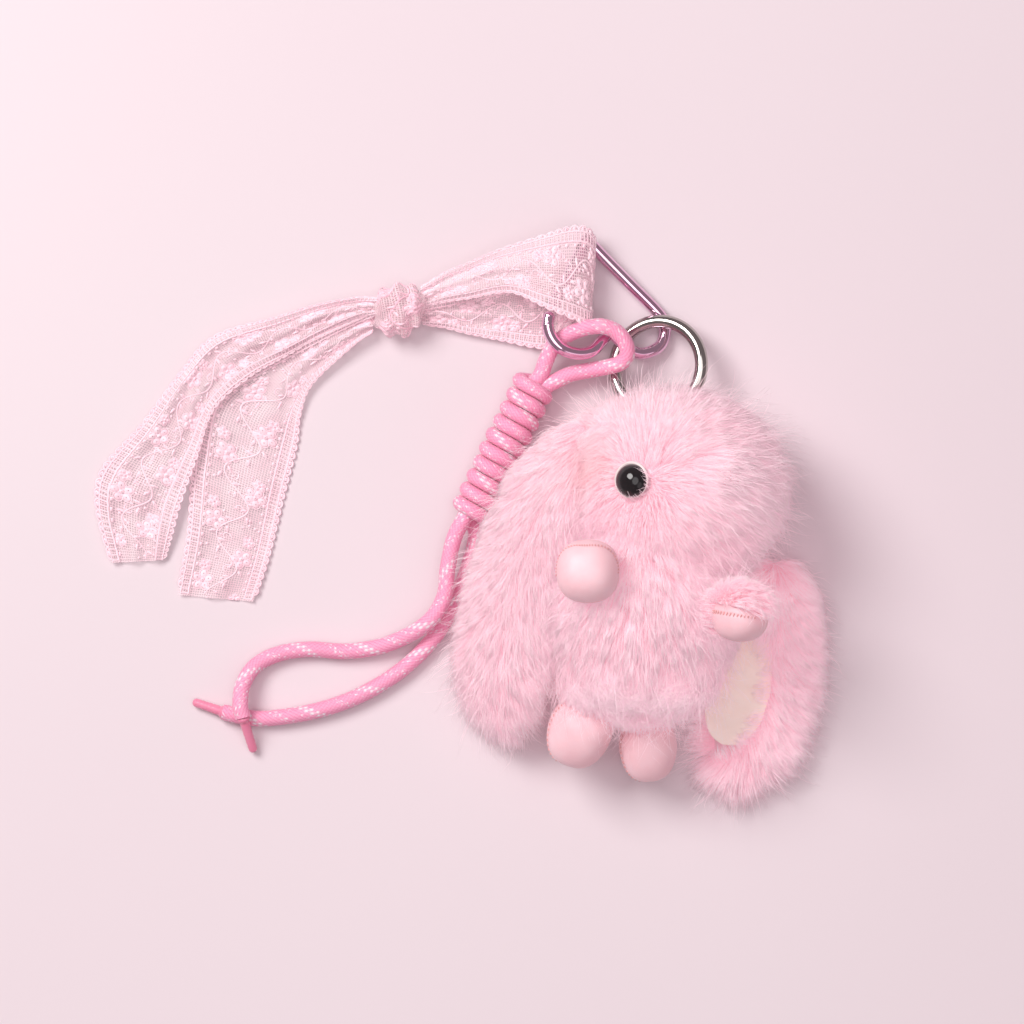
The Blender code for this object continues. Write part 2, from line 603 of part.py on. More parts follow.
def make_cord():
    """The hitched loop, the ten-turn wrap as its outer shape, two tails and their end tips."""
    empty = pivot("cord_pivot", WRAP_TOP)
    axis = (WRAP_BOTTOM - WRAP_TOP).normalized()
    length = (WRAP_BOTTOM - WRAP_TOP).length
    round_off = 1.2 * MM
    wrap = turned(
        "cord_wrap",
        [(0, 0), (0, WRAP_RADIUS - round_off), (round_off, WRAP_RADIUS), (length - round_off, WRAP_RADIUS),
         (length, WRAP_RADIUS - round_off), (length, 0)],
        WRAP_TOP, axis, "cord",
    )
    hang(wrap, empty)
    for name, route in (("cord_loop", LOOP_ROUTE), ("cord_tail_a", TAIL_A_ROUTE), ("cord_tail_b", TAIL_B_ROUTE)):
        points = smooth_route([Vector(p) * MM for p in route], 5.5 * MM)
        hang(tube(name, points, CORD_RADIUS, "cord"), empty)
    for name, (start, end) in (("aglet_a", AGLET_A), ("aglet_b", AGLET_B)):
        hang(cylinder(name, Vector(start) * MM, Vector(end) * MM, AGLET_RADIUS, "aglet", 12), empty)


def make_lace():
    """The ribbon: two layers of its loop round the gate side of the heart, its knot and two tails."""
    apex, nose = heart_point(*HEART_APEX), heart_point(*HEART_OUTLINE[-1])

    def near_bar(x):
        return max(0.0, min(1.0, (x - LACE_KNOT_X) / LACE_SPREAD))

    def front(x, y):
        over = heart_point(x, y).z + HEART_WIRE + LACE_CLEAR
        return (1 - near_bar(x)) * LACE_FRONT_LOW + near_bar(x) * max(over, apex.z)

    def back(x, y):
        under = heart_point(x, y).z - HEART_WIRE - LACE_CLEAR - LACE_THICKNESS
        return (1 - near_bar(x)) * LACE_BACK_LOW + near_bar(x) * max(LACE_REST, min(under, LACE_BACK_HIGH))

    def lower(x, y):
        return LACE_REST

    def upper(x, y):
        return lower(x, y) + LACE_THICKNESS + GAP

    pieces = [
        slab("lace_loop_front", LACE_FRONT, front, LACE_THICKNESS, "lace"),
        slab("lace_loop_back", LACE_BACK, back, LACE_THICKNESS, "lace"),
        slab("lace_tail_upper", LACE_TAIL_UPPER, upper, LACE_THICKNESS, "lace"),
        slab("lace_tail_lower", LACE_TAIL_LOWER, lower, LACE_THICKNESS, "lace"),
    ]

    def build(shape):
        bmesh.ops.create_uvsphere(shape, u_segments=20, v_segments=12, radius=1.0)
        size = Matrix.Diagonal((*LACE_KNOT_RADII, 1.0))
        bmesh.ops.transform(shape, matrix=Matrix.Translation(LACE_KNOT_CENTRE) @ size, verts=shape.verts)

    pieces.append(add_mesh("lace_knot", build, "lace"))
    empty = pivot("lace_pivot", (apex + nose) / 2)
    for piece in pieces:
        hang(piece, empty)


def main():
    clear_scene()
    make_finishes()
    make_body()
    head_room = grown_ellipsoid("head_room", HEAD_CENTRE, HEAD_RADII, EAR_ROOM)
    torso_room = grown_ellipsoid("torso_room", TORSO_CENTRE, TORSO_RADII, EAR_ROOM)
    make_ears([head_room, torso_room])
    make_limbs([head_room, grown_ellipsoid("limb_room", TORSO_CENTRE, TORSO_RADII, LIMB_ROOM)])
    make_ring([head_room])
    make_carabiner()
    make_cord()
    make_lace()


main()
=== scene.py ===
import math

import bpy
import numpy as np
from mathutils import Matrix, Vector
from mathutils.kdtree import KDTree


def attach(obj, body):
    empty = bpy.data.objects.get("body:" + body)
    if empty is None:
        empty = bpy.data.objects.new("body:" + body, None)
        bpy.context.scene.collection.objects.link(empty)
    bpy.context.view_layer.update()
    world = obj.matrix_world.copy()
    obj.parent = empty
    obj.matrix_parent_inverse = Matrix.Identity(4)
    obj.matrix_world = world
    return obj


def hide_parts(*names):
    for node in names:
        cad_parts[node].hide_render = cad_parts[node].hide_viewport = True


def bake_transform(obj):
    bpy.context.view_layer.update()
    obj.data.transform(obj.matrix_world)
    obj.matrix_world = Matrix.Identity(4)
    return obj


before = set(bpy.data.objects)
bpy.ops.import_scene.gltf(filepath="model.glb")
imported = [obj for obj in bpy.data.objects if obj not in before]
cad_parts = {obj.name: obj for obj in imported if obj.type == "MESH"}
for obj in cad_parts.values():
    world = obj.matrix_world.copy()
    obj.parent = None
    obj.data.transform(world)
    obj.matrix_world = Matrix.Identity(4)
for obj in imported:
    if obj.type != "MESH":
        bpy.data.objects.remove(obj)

MM = 0.001
UP = np.array([0, 0, 1.0])
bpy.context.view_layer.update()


# ---------------------------------------------------------------- small tools

def unit(v):
    v = np.asarray(v, float)
    return v / np.maximum(np.linalg.norm(v, axis=-1, keepdims=True), 1e-12)


def mesh_object(name, points, faces, material, smooth=True, tint=None, uv=None):
    """A mesh from numpy points in millimetres. tint is a colour for each point, uv a pair for each point."""
    mesh = bpy.data.meshes.new(name)
    faces = np.asarray(faces)
    mesh.vertices.add(len(points))
    mesh.vertices.foreach_set("co", (np.asarray(points, float) * MM).astype(np.float32).ravel())
    mesh.loops.add(faces.size)
    mesh.loops.foreach_set("vertex_index", faces.astype(np.int32).ravel())
    mesh.polygons.add(len(faces))
    mesh.polygons.foreach_set("loop_start", np.arange(0, faces.size, faces.shape[1], dtype=np.int32))
    mesh.update(calc_edges=True)
    mesh.validate()
    if smooth:
        mesh.shade_smooth()
    if tint is not None:
        colours = np.ones((len(points), 4), np.float32)
        colours[:, :3] = tint
        layer = mesh.color_attributes.new("tint", "FLOAT_COLOR", "POINT")
        layer.data.foreach_set("color", colours.ravel())
    if uv is not None:
        layer = mesh.uv_layers.new(name="flat")
        order = np.empty(len(mesh.loops), np.int32)
        mesh.loops.foreach_get("vertex_index", order)
        layer.data.foreach_set("uv", np.asarray(uv, np.float32)[order].ravel())
    thing = bpy.data.objects.new(name, mesh)
    bpy.context.scene.collection.objects.link(thing)
    mesh.materials.append(material)
    return thing


def place(thing, body, slot, *nodes):
    """Rides a piece on a body and hides the CAD nodes that it stands for. slot, its finish, is not used."""
    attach(thing, body)
    if nodes:
        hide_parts(*nodes)
    return thing


def with_ends(points):
    """The points, with one more at each end for a Catmull-Rom curve to start and stop by."""
    p = np.asarray(points, float)
    return np.vstack([2 * p[0] - p[1], p, 2 * p[-1] - p[-2]])


def between(a, b, c, d, t):
    """A Catmull-Rom curve's place between b and c."""
    return 0.5 * (2 * b + (c - a) * t + (2 * a - 5 * b + 4 * c - d) * t**2 + (3 * b - a - 3 * c + d) * t**3)


def gone_along(path):
    """The distance gone at each point of a path."""
    return np.concatenate([[0], np.cumsum(np.linalg.norm(np.diff(path, axis=0), axis=1))])


def smooth_curve(points, step):
    """Points every step millimetres along a curve through the given points."""
    ends = with_ends(points)
    t = np.linspace(0, 1, 24, endpoint=False)[:, None]
    fine = np.vstack([between(a, b, c, d, t) for a, b, c, d in zip(ends, ends[1:], ends[2:], ends[3:])]
                     + [ends[-2:-1]])
    gone = gone_along(fine)
    count = max(2, int(round(gone[-1] / step)))
    at = np.linspace(0, gone[-1], count + 1)
    return np.stack([np.interp(at, gone, fine[:, k]) for k in range(3)], axis=1)


def frames_along(path, closed=False):
    """Tangents and two turning-free cross directions along a path."""
    if closed:
        tangent = unit(np.roll(path, -1, 0) - np.roll(path, 1, 0))
    else:
        tangent = unit(np.gradient(path, axis=0))
    side = np.cross(tangent[0], UP)
    if np.linalg.norm(side) < 0.1:
        side = np.cross(tangent[0], [0, 1.0, 0])
    sides = []
    for t in tangent:
        side = unit(side - t * np.dot(side, t))
        sides.append(side)
    sides = np.array(sides)
    return tangent, sides, np.cross(sides, tangent)


def grid_quads(rows, columns, closed=True, closed_rows=False):
    """Quads over a grid of points, row by row. closed joins the last column to the first."""
    i, j = np.meshgrid(np.arange(rows - (not closed_rows)), np.arange(columns - (not closed)), indexing="ij")
    k, m = (i + 1) % rows, (j + 1) % columns
    return np.stack([i * columns + j, i * columns + m, k * columns + m, k * columns + j], -1).reshape(-1, 4)


def tube_points(path, radius, around, closed=False):
    """Points and quads of a tube. radius is a number, or an array of (along, around)."""
    _, side, up = frames_along(path, closed)
    angle = np.linspace(0, 2 * math.pi, around, endpoint=False)
    reach = np.broadcast_to(radius, (len(path), around))[..., None]
    ring = side[:, None] * np.cos(angle)[None, :, None] + up[:, None] * np.sin(angle)[None, :, None]
    points = (path[:, None] + ring * reach).reshape(-1, 3)
    return points, np.roll(grid_quads(len(path), around, closed_rows=closed), -1, axis=1)


# ---------------------------------------------------------------- materials

def new_material(name, **values):
    """A Principled material, with plain values on its sockets."""
    material = bpy.data.materials.new(name)
    material.use_nodes = True
    shader = material.node_tree.nodes["Principled BSDF"]
    for socket, value in values.items():
        key = socket.replace("_", " ")
        shader.inputs[key].default_value = (*value, 1.0) if isinstance(value, tuple) else value
    return material, material.node_tree, shader


def node(tree, kind, **settings):
    """A shader node. A setting that starts with in_ is an input's value, or the output that it comes from."""
    made = tree.nodes.new("ShaderNode" + kind)
    for key, value in settings.items():
        if not key.startswith("in_"):
            setattr(made, key, value)
        elif isinstance(value, bpy.types.NodeSocket):
            tree.links.new(value, made.inputs[key[3:]])
        else:
            made.inputs[key[3:]].default_value = value
    return made


def noise(tree, scale, detail, roughness=0.5):
    place_at = node(tree, "TexCoord").outputs["Object"]
    return node(tree, "TexNoise", in_Vector=place_at, in_Scale=scale, in_Detail=detail,
                in_Roughness=roughness).outputs["Fac"]


def ramp(tree, source, *stops):
    """Two stops, each a position and a colour or a grey."""
    made = node(tree, "ValToRGB", in_Fac=source)
    for element, (position, colour) in zip(made.color_ramp.elements, stops):
        element.position = position
        element.color = (*(colour if isinstance(colour, tuple) else (colour,) * 3), 1.0)
    return made.outputs["Color"]


def bump(tree, shader, source, strength, distance):
    made = node(tree, "Bump", in_Strength=strength, in_Distance=distance, in_Height=source)
    tree.links.new(made.outputs["Normal"], shader.inputs["Normal"])


def mottled_material(name, scale, detail, low, high, start=0.3, **values):
    """A material whose colour drifts between two tones."""
    material, tree, shader = new_material(name, **values)
    colour = ramp(tree, noise(tree, scale, detail), (start, low), (0.7, high))
    tree.links.new(colour, shader.inputs["Base Color"])
    return material, tree, shader


def tinted_material(name, grain=None, **values):
    """A material with the mesh's own colours. grain is a fine bump's scale, detail, strength and depth."""
    material, tree, shader = new_material(name, **values)
    tint = node(tree, "Attribute", attribute_name="tint").outputs["Color"]
    tree.links.new(tint, shader.inputs["Base Color"])
    if grain:
        bump(tree, shader, noise(tree, *grain[:2]), *grain[2:])
    return material


def leather_material(name, low, high, grain, gloss, glow=0.0):
    """Glow stands for the light that thin pale skin lets through."""
    material, tree, shader = mottled_material(
        name, 120, 4, low, high, 0.35, Roughness=gloss, Specular_IOR_Level=0.45, Sheen_Weight=0.12,
        Subsurface_Weight=0.12, Subsurface_Scale=0.004, Subsurface_Radius=[1.0, 0.45, 0.4],
        Emission_Strength=glow, Emission_Color=high)
    cells = node(tree, "TexVoronoi", feature="SMOOTH_F1", in_Scale=grain,
                 in_Vector=node(tree, "TexCoord").outputs["Object"])
    bump(tree, shader, cells.outputs["Distance"], 0.25, 0.00012)
    return material


def thread_material(name, colour):
    dark = tuple(c * 0.85 for c in colour)
    return mottled_material(name, 2500, 2, dark, colour, Roughness=0.7, Sheen_Weight=0.3)[0]


def metal_material(name, low, high, rough):
    """Plated metal: a little colour drift and fine polishing marks."""
    material, tree, shader = mottled_material(name, 60, 2, low, high, Metallic=1.0, Roughness=rough)
    marks = ramp(tree, noise(tree, 900, 4, 0.6), (0.35, rough * 0.75), (0.75, rough * 1.5))
    tree.links.new(marks, shader.inputs["Roughness"])
    bump(tree, shader, noise(tree, 1500, 2), 0.03, 0.00005)
    return material


def tulle_material():
    """Fine net: see-through holes between threads, worked out from the flat coordinates in millimetres."""
    material, tree, shader = mottled_material("lace_tulle", 150, 3, (0.93, 0.66, 0.73), (0.98, 0.80, 0.84),
                                              Roughness=0.7, Sheen_Weight=0.3)
    net = node(tree, "TexVoronoi", feature="DISTANCE_TO_EDGE", in_Scale=1.6, in_Randomness=0.25,
               in_Vector=node(tree, "UVMap", uv_map="flat").outputs["UV"])
    holes = ramp(tree, net.outputs["Distance"], (0.10, 0.85), (0.22, 0.22))
    tree.links.new(holes, shader.inputs["Alpha"])
    return material


# The fur's emission is a painted glow. It lifts the fur's shade towards a constant pink, standing in for
# light scattered through the hairs.
FUR = tinted_material("fur_hair", Roughness=0.62, Sheen_Weight=0.15, Sheen_Roughness=0.4,
                      Specular_IOR_Level=0.25, Emission_Strength=0.20, Emission_Color=(1.0, 0.62, 0.72))
SKIN = mottled_material("fur_backing", 700, 3, (0.94, 0.60, 0.69), (0.97, 0.70, 0.77), Roughness=0.95,
                        Sheen_Weight=0.3)[0]
PAW = leather_material("paw_leather", (0.90, 0.56, 0.61), (0.94, 0.64, 0.69), 900, 0.45)
SUEDE = leather_material("ear_suede", (0.93, 0.76, 0.68), (0.97, 0.84, 0.77), 1600, 0.85, glow=0.12)
EYE = leather_material("eye_gloss", (0.006, 0.005, 0.006), (0.012, 0.009, 0.010), 300, 0.09)
EYE_RIM = leather_material("eye_rim", (0.80, 0.66, 0.66), (0.90, 0.78, 0.78), 700, 0.25)
AGLET = leather_material("aglet_plastic", (0.78, 0.22, 0.36), (0.84, 0.28, 0.42), 500, 0.28)
THREAD = thread_material("seam_thread", (0.82, 0.42, 0.42))
STUFFING = thread_material("stuffing_fibre", (0.86, 0.84, 0.80))
WASHER = thread_material("washer_plastic", (0.80, 0.80, 0.80))
TAPE = thread_material("woven_tape", (0.90, 0.58, 0.66))
RING_METAL = metal_material("ring_gunmetal", (0.42, 0.40, 0.38), (0.52, 0.50, 0.47), 0.09)
HEART_METAL = metal_material("heart_pink_plate", (0.80, 0.50, 0.68), (0.88, 0.62, 0.78), 0.07)
STEEL = metal_material("plain_steel", (0.55, 0.55, 0.55), (0.65, 0.65, 0.65), 0.3)
CORD = tinted_material("cord_braid", (4200, 2, 0.35, 0.0001), Roughness=0.58, Sheen_Weight=0.35,
                       Sheen_Roughness=0.35, Specular_IOR_Level=0.4)
# The embroidery's faint emission is a painted glow that lightens its shade.
LACE_THREAD = tinted_material("lace_embroidery", (3500, 3, 0.4, 0.00012), Roughness=0.55,
                              Sheen_Weight=0.5, Specular_IOR_Level=0.35, Emission_Strength=0.06,
                              Emission_Color=(1.0, 0.8, 0.85))
TULLE = tulle_material()


# ---------------------------------------------------------------- camera, floor and lights

VIEW_CENTRE = (-34.1, 15.5)        # the middle of the picture, in millimetres on the table
VIEW_HEIGHT = 1500.0
VIEW_FIELD = 273.0


def make_camera():
    data = bpy.data.cameras.new("camera")
    data.sensor_width = 36.0
    data.lens = data.sensor_width * (VIEW_HEIGHT - 10) / VIEW_FIELD
    data.clip_end = 20.0
    camera = bpy.data.objects.new("camera", data)
    camera.location = Vector((*VIEW_CENTRE, VIEW_HEIGHT)) * MM
    bpy.context.scene.collection.objects.link(camera)
    bpy.context.scene.camera = camera


def make_floor():
    material = mottled_material("floor", 2.5, 2, (0.745, 0.65, 0.69), (0.775, 0.69, 0.725), Roughness=0.8,
                                Specular_IOR_Level=0.2)[0]
    reach, below = 3000.0, -0.05
    corners = [(x * reach, y * reach, below) for x, y in ((-1, -1), (1, -1), (1, 1), (-1, 1))]
    mesh_object("floor", corners, [(0, 1, 2, 3)], material, smooth=False)


def add_light(name, place, size, power, colour):
    data = bpy.data.lights.new(name, "AREA")
    data.shape = "DISK"
    data.size = size
    data.energy = power
    data.color = colour
    lamp = bpy.data.objects.new(name, data)
    lamp.location = place
    lamp.rotation_euler = (-Vector(place)).to_track_quat("-Z", "Y").to_euler()
    bpy.context.scene.collection.objects.link(lamp)


def make_lights():
    world = bpy.data.worlds.new("studio")
    bpy.context.scene.world = world
    world.use_nodes = True
    sky = world.node_tree.nodes["Background"].inputs
    sky["Color"].default_value, sky["Strength"].default_value = (1.0, 0.82, 0.87, 1.0), 0.28
    add_light("key", (-0.60, 0.50, 0.90), 0.60, 11.0, (1.0, 0.97, 0.95))
    add_light("fill", (0.7, -0.5, 0.9), 0.8, 1.2, (1.0, 0.90, 0.94))
    add_light("overhead", (0.05, 0.05, 1.9), 1.5, 11.0, (1.0, 0.97, 0.98))
    bpy.context.scene.view_settings.view_transform = "Standard"


# ---------------------------------------------------------------- cord

CORD_RADIUS = 2.15
WRAP_TOP, WRAP_BOTTOM = np.array([-28.2, 49.4, 5.5]), np.array([-44.6, 15.8, 5.5])
WRAP_RADIUS, WRAP_TURNS = 6.0, 10
LOOP_ROUTE = [
    (-26.6, 51.9, 5.9), (-25.3, 55.2, 6.1), (-24.1, 58.0, 6.4), (-22.9, 60.1, 6.9), (-20.2, 62.2, 8.2),
    (-17.2, 63.7, 10.0), (-13.9, 64.7, 11.6), (-10.6, 65.0, 12.0), (-7.4, 64.2, 11.5), (-4.9, 62.2, 11.0),
    (-3.5, 59.5, 10.4), (-3.6, 57.0, 9.6), (-5.5, 55.1, 8.6), (-9.3, 54.1, 7.4), (-13.9, 53.3, 6.5),
    (-18.6, 52.3, 5.9), (-22.4, 50.5, 5.5), (-24.9, 49.1, 5.2),
]
HOOK = 7                           # the loop's point that lies on the carabiner, where its two strands part
LAP = 0.25                         # how far each strand runs past that point, as a share of the next step
TAIL_A_ROUTE = [
    (-46.6, 14.4, 6.6), (-49.6, 8.4, 6.9), (-51.3, 0.5, 7.0), (-52.3, -7.3, 7.0), (-57.0, -14.3, 6.8),
    (-67.2, -19.8, 3.4), (-77.9, -21.8, 2.3), (-88.3, -21.3, 2.3), (-96.3, -22.4, 2.3),
    (-102.6, -25.5, 3.0), (-106.0, -30.6, 5.2), (-106.7, -36.0, 6.9), (-105.9, -39.4, 6.8),
]
TAIL_B_ROUTE = [
    (-44.6, 14.0, 3.0), (-43.7, 9.5, 2.3), (-45.0, 3.5, 2.25), (-47.2, -3.2, 2.25), (-51.4, -12.6, 2.25),
    (-56.9, -20.4, 2.25), (-64.9, -27.7, 2.25), (-75.2, -33.8, 2.25), (-85.9, -37.6, 2.25),
    (-96.3, -39.5, 2.25), (-102.7, -39.8, 2.25), (-108.0, -39.0, 2.25), (-111.7, -38.0, 2.25),
]
AGLET_A = ((-105.7, -40.4, 6.2), (-103.3, -48.8, 1.6))
AGLET_B = ((-112.3, -37.8, 2.1), (-119.7, -35.3, 1.5))
# The darker cord colour is painted shade for the grooves between the braid's ribs.
CORD_PINK, CORD_GROOVE_SHADE, CORD_FLECK = (0.93, 0.40, 0.58), (0.82, 0.22, 0.40), (0.99, 0.82, 0.90)


def braid(path, radius, around, carriers, step):
    """Tube radius and colour of a round braid: two sets of yarns that pass over and under each other, with
    painted shade in the grooves between the ribs.
    """
    turn = np.arange(around) / around
    along = np.arange(len(path)) * step / (2 * math.pi * CORD_RADIUS / carriers * 1.25)
    a = turn[None] * carriers + along[:, None]
    b = turn[None] * carriers - along[:, None]
    over = (np.floor(a) + np.floor(b)).astype(int) % 2 == 0
    rib_a = np.sin(np.pi * (a % 1.0)) * (0.55 + 0.45 * np.sin(np.pi * (b % 1.0)))
    rib_b = np.sin(np.pi * (b % 1.0)) * (0.55 + 0.45 * np.sin(np.pi * (a % 1.0)))
    height = np.where(over, rib_a, rib_b)
    reach = radius[:, None] * (0.925 + 0.085 * height)
    carrier = np.where(over, np.floor(a) % carriers, carriers + np.floor(b) % carriers).astype(int)
    glitter = np.random.default_rng(len(path)).random(height.shape) < 0.35
    pale = np.isin(carrier, (1, 2, carriers + 5))
    pale |= glitter & np.isin(carrier, (4, 7, 8, carriers + 2, carriers + 9))
    # Painted shade: the colour runs from CORD_PINK on the ribs' crests to a darker pink in the grooves, and
    # the pale flecks darken in the grooves too.
    colour = np.array(CORD_GROOVE_SHADE) + (np.array(CORD_PINK) - CORD_GROOVE_SHADE) * np.clip(height[..., None] * 1.5, 0, 1)
    fleck = np.array(CORD_FLECK) * (0.75 + 0.25 * height[..., None])
    return reach, np.where(pale[..., None] & over[..., None], fleck, colour)


def cord_mesh(name, path, radius, step):
    """A braided tube with closed ends."""
    around, carriers = 48, 12
    reach, colour = braid(path, np.broadcast_to(radius, len(path)).astype(float), around, carriers, step)
    points, quads = tube_points(path, reach, around)
    first, last = len(points), len(points) + 1
    points = np.vstack([points, path[:1], path[-1:]])
    end = (len(path) - 1) * around
    fans = [(first, c, (c + 1) % around, first) for c in range(around)]
    fans += [(last, end + (c + 1) % around, end + c, last) for c in range(around)]
    tint = np.vstack([colour.reshape(-1, 3), np.array([CORD_PINK, CORD_PINK])])
    quads = np.vstack([quads, np.array(fans)])
    return mesh_object(name, points, quads, CORD, tint=tint)


def make_strand(name, loop, tail, side, node_names):
    """One strand, from the carabiner through the wrap to its tip. side says where it lies in the wrap."""
    step = 0.28
    axis = unit(WRAP_BOTTOM - WRAP_TOP)
    beside = np.cross(axis, UP) * side
    length = np.linalg.norm(WRAP_BOTTOM - WRAP_TOP)
    core = [WRAP_TOP + axis * length * f + beside * 1.1 for f in (0.12, 0.5, 0.88)]
    route = [np.array(p) for p in loop] + core + [np.array(p) for p in tail]
    path = smooth_curve(route, step)
    inside = (path - WRAP_TOP) @ axis / length
    near = np.linalg.norm(path - WRAP_TOP - np.outer((path - WRAP_TOP) @ axis, axis), axis=1) < 3.5
    hidden = np.clip((0.5 - np.abs(inside - 0.5)) / 0.10, 0, 1) * near
    strand = cord_mesh(name, path, CORD_RADIUS * (1 - 0.45 * hidden), step)
    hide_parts(*node_names)
    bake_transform(strand)


def make_wrap():
    """The cord wound round both strands. Each turn steps on behind, and each end is tucked there."""
    axis = unit(WRAP_BOTTOM - WRAP_TOP)
    across = unit(np.cross(axis, UP))
    up = np.cross(across, axis)
    length = np.linalg.norm(WRAP_BOTTOM - WRAP_TOP)
    thick, past_end, squash = 1.98, 4.0, 0.86
    angle = np.linspace(-2.0, WRAP_TURNS * 2 * math.pi - 1.15, 1600)
    turns = angle / (2 * math.pi) + 0.11 * np.cos(angle)
    turns = (turns - turns.min()) / (turns.max() - turns.min())
    at = turns * (length + past_end) - 1.5
    wobble = 0.10 * np.sin(angle * 0.84) + 0.06 * np.sin(angle * 1.77 + 1)
    reach = WRAP_RADIUS - thick + wobble
    path = (WRAP_TOP + np.outer(at, axis) + across * (reach * np.cos(angle))[:, None]
            + up * (squash * reach * np.sin(angle))[:, None])
    wrap = cord_mesh("cord_wrap_turns", path, thick, np.linalg.norm(path[1] - path[0]))
    place(wrap, "cord", "cord", "cord_wrap")


def turned_points(profile, start, axis, around):
    """A closed turned shape: profile is (along, radius) pairs whose first and last radius are near 0."""
    axis = unit(axis)
    across = unit(np.cross(axis, [0.3, 0.2, 1.0]))
    up = np.cross(axis, across)
    profile = np.asarray(profile, float)
    angle = np.linspace(0, 2 * math.pi, around, endpoint=False)
    ring = across[None] * np.cos(angle)[:, None] + up[None] * np.sin(angle)[:, None]
    points = start + profile[:, None, :1] * axis + ring[None] * profile[:, None, 1:]
    return points.reshape(-1, 3), grid_quads(len(profile), around)


def make_aglet(name, ends):
    """A moulded tip: a collar over the melted cord, crimp rings and a rounded end."""
    start, end = (np.array(e) for e in ends)
    length = np.linalg.norm(end - start)
    profile = [(-1.6, 0.01), (-1.6, 1.75), (-0.9, 1.85), (-0.2, 1.55)]
    for k in range(24):
        t = k / 23
        groove = 0.07 * (math.sin(t * 40) > 0.72)
        profile.append((t * (length - 1.2), 1.32 - 0.14 * t - groove))
    profile += [(length - 1.15 + 1.15 * math.sin(a), 1.18 * math.cos(a)) for a in np.linspace(0.15, 1.56, 7)]
    points, quads = turned_points(profile, start, end - start, 32)
    tip = mesh_object("tip_" + name[-1], points, quads, AGLET)
    place(tip, "cord", "aglet", name)
    return tip


def make_cords():
    tip_a, tip_b = make_aglet("aglet_a", AGLET_A), make_aglet("aglet_b", AGLET_B)
    hook, before, after = (np.array(LOOP_ROUTE[HOOK + k]) for k in (0, -1, 1))
    make_strand("cord_strand_a", [hook + LAP * (after - hook)] + LOOP_ROUTE[HOOK::-1], TAIL_A_ROUTE, 1,
                ("cord_tail_a",))
    make_strand("cord_strand_b", [hook + LAP * (before - hook)] + LOOP_ROUTE[HOOK:], TAIL_B_ROUTE, -1,
                ("cord_tail_b", "cord_loop"))
    make_wrap()


# ---------------------------------------------------------------- key ring and heart carabiner

RING_CENTRE, RING_RADIUS, RING_WIRE = np.array([4.9, 54.4, 6.8]), 12.2, 1.76
RING_SLOPE = (0.361, -0.12)
HEART_WIRE = 1.61
HEART_CORNER = np.array([6.4, 66.7, 1.75])
HEART_SLOPE = (-0.335, -0.13)
HEART_APEX = (-13.9, 88.5)
HEART_OUTLINE = [
    (-11.2, 85.3), (-3.0, 77.0), (4.6, 69.4), (6.5, 66.4), (6.9, 63.4), (5.8, 60.4), (3.3, 58.6),
    (0.0, 57.9), (-3.3, 59.3), (-5.9, 61.8), (-8.0, 63.2), (-9.9, 61.4), (-12.2, 58.9), (-14.8, 57.8),
    (-18.0, 57.9), (-21.2, 59.2), (-23.6, 61.9), (-24.6, 65.2), (-24.0, 68.8),
]


def heart_point(x, y):
    z = HEART_CORNER[2] + HEART_SLOPE[0] * (x - HEART_CORNER[0]) + HEART_SLOPE[1] * (y - HEART_CORNER[1])
    return np.array([x, y, z])


def make_key_ring():
    normal = Vector((-RING_SLOPE[0], -RING_SLOPE[1], 1)).normalized()
    turn = Vector((0, 0, 1)).rotation_difference(normal)
    angles = np.linspace(0, 2 * math.pi, 160, endpoint=False)
    spokes = np.array([turn @ Vector((math.cos(a), math.sin(a), 0)) for a in angles])
    path = RING_CENTRE + spokes * RING_RADIUS
    points, quads = tube_points(path, RING_WIRE, 40, closed=True)
    place(mesh_object("ring_wire", points, quads, RING_METAL), "ring", "ring_chrome", "key_ring")


def make_heart():
    """The bent wire with its tongue at the apex and a knurled nose where the gate shuts."""
    apex = heart_point(*HEART_APEX)
    bar = unit(heart_point(*HEART_OUTLINE[0]) - apex)
    route = [apex + bar * 1.2] + [heart_point(x, y) for x, y in HEART_OUTLINE]
    path = smooth_curve(route, 0.35)
    to_end = np.linalg.norm(path - path[-1], axis=1)
    from_start = np.linalg.norm(path - path[0], axis=1)
    around = 40
    radius = np.full((len(path), around), HEART_WIRE)
    knurl = (to_end < 5.0) & (to_end > 1.2)
    radius[knurl] *= 1.0 + 0.035 * np.sign(np.sin(to_end[knurl] * 9))[:, None]
    for gap in (to_end, from_start):
        close = np.clip(gap / 1.1, 0, 1)
        radius *= np.sqrt(1 - (1 - close) ** 2 * 0.98)[:, None]
    points, quads = tube_points(path, radius, around)
    place(mesh_object("heart_wire", points, quads, HEART_METAL), "heart", "pink_chrome", "heart_frame")
    normal = unit([-HEART_SLOPE[0], -HEART_SLOPE[1], 1])
    profile = [(-0.9, 0.01), (-0.9, 1.35), (-0.75, 1.5), (0.75, 1.5), (0.9, 1.35), (0.9, 0.01)]
    points, quads = turned_points(profile, apex, normal, 32)
    place(mesh_object("heart_tongue", points, quads, HEART_METAL), "heart", "pink_chrome")


def finish_hidden_nodes():
    """The CAD pieces that keep their own shape, each with its finish."""
    for name, material in {
        "head_stuffing": STUFFING, "torso_stuffing": STUFFING, "eye_washer_left": WASHER,
        "eye_washer_right": WASHER, "hanging_tape": TAPE, "gate_pin": STEEL, "gate_spring": STEEL,
        "heart_gate": HEART_METAL,
    }.items():
        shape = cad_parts[name].data
        shape.materials.clear()
        shape.materials.append(material)
        shape.shade_smooth()
        shape.set_sharp_from_angle(angle=math.radians(35))


# ---------------------------------------------------------------- plush: skins under the fur

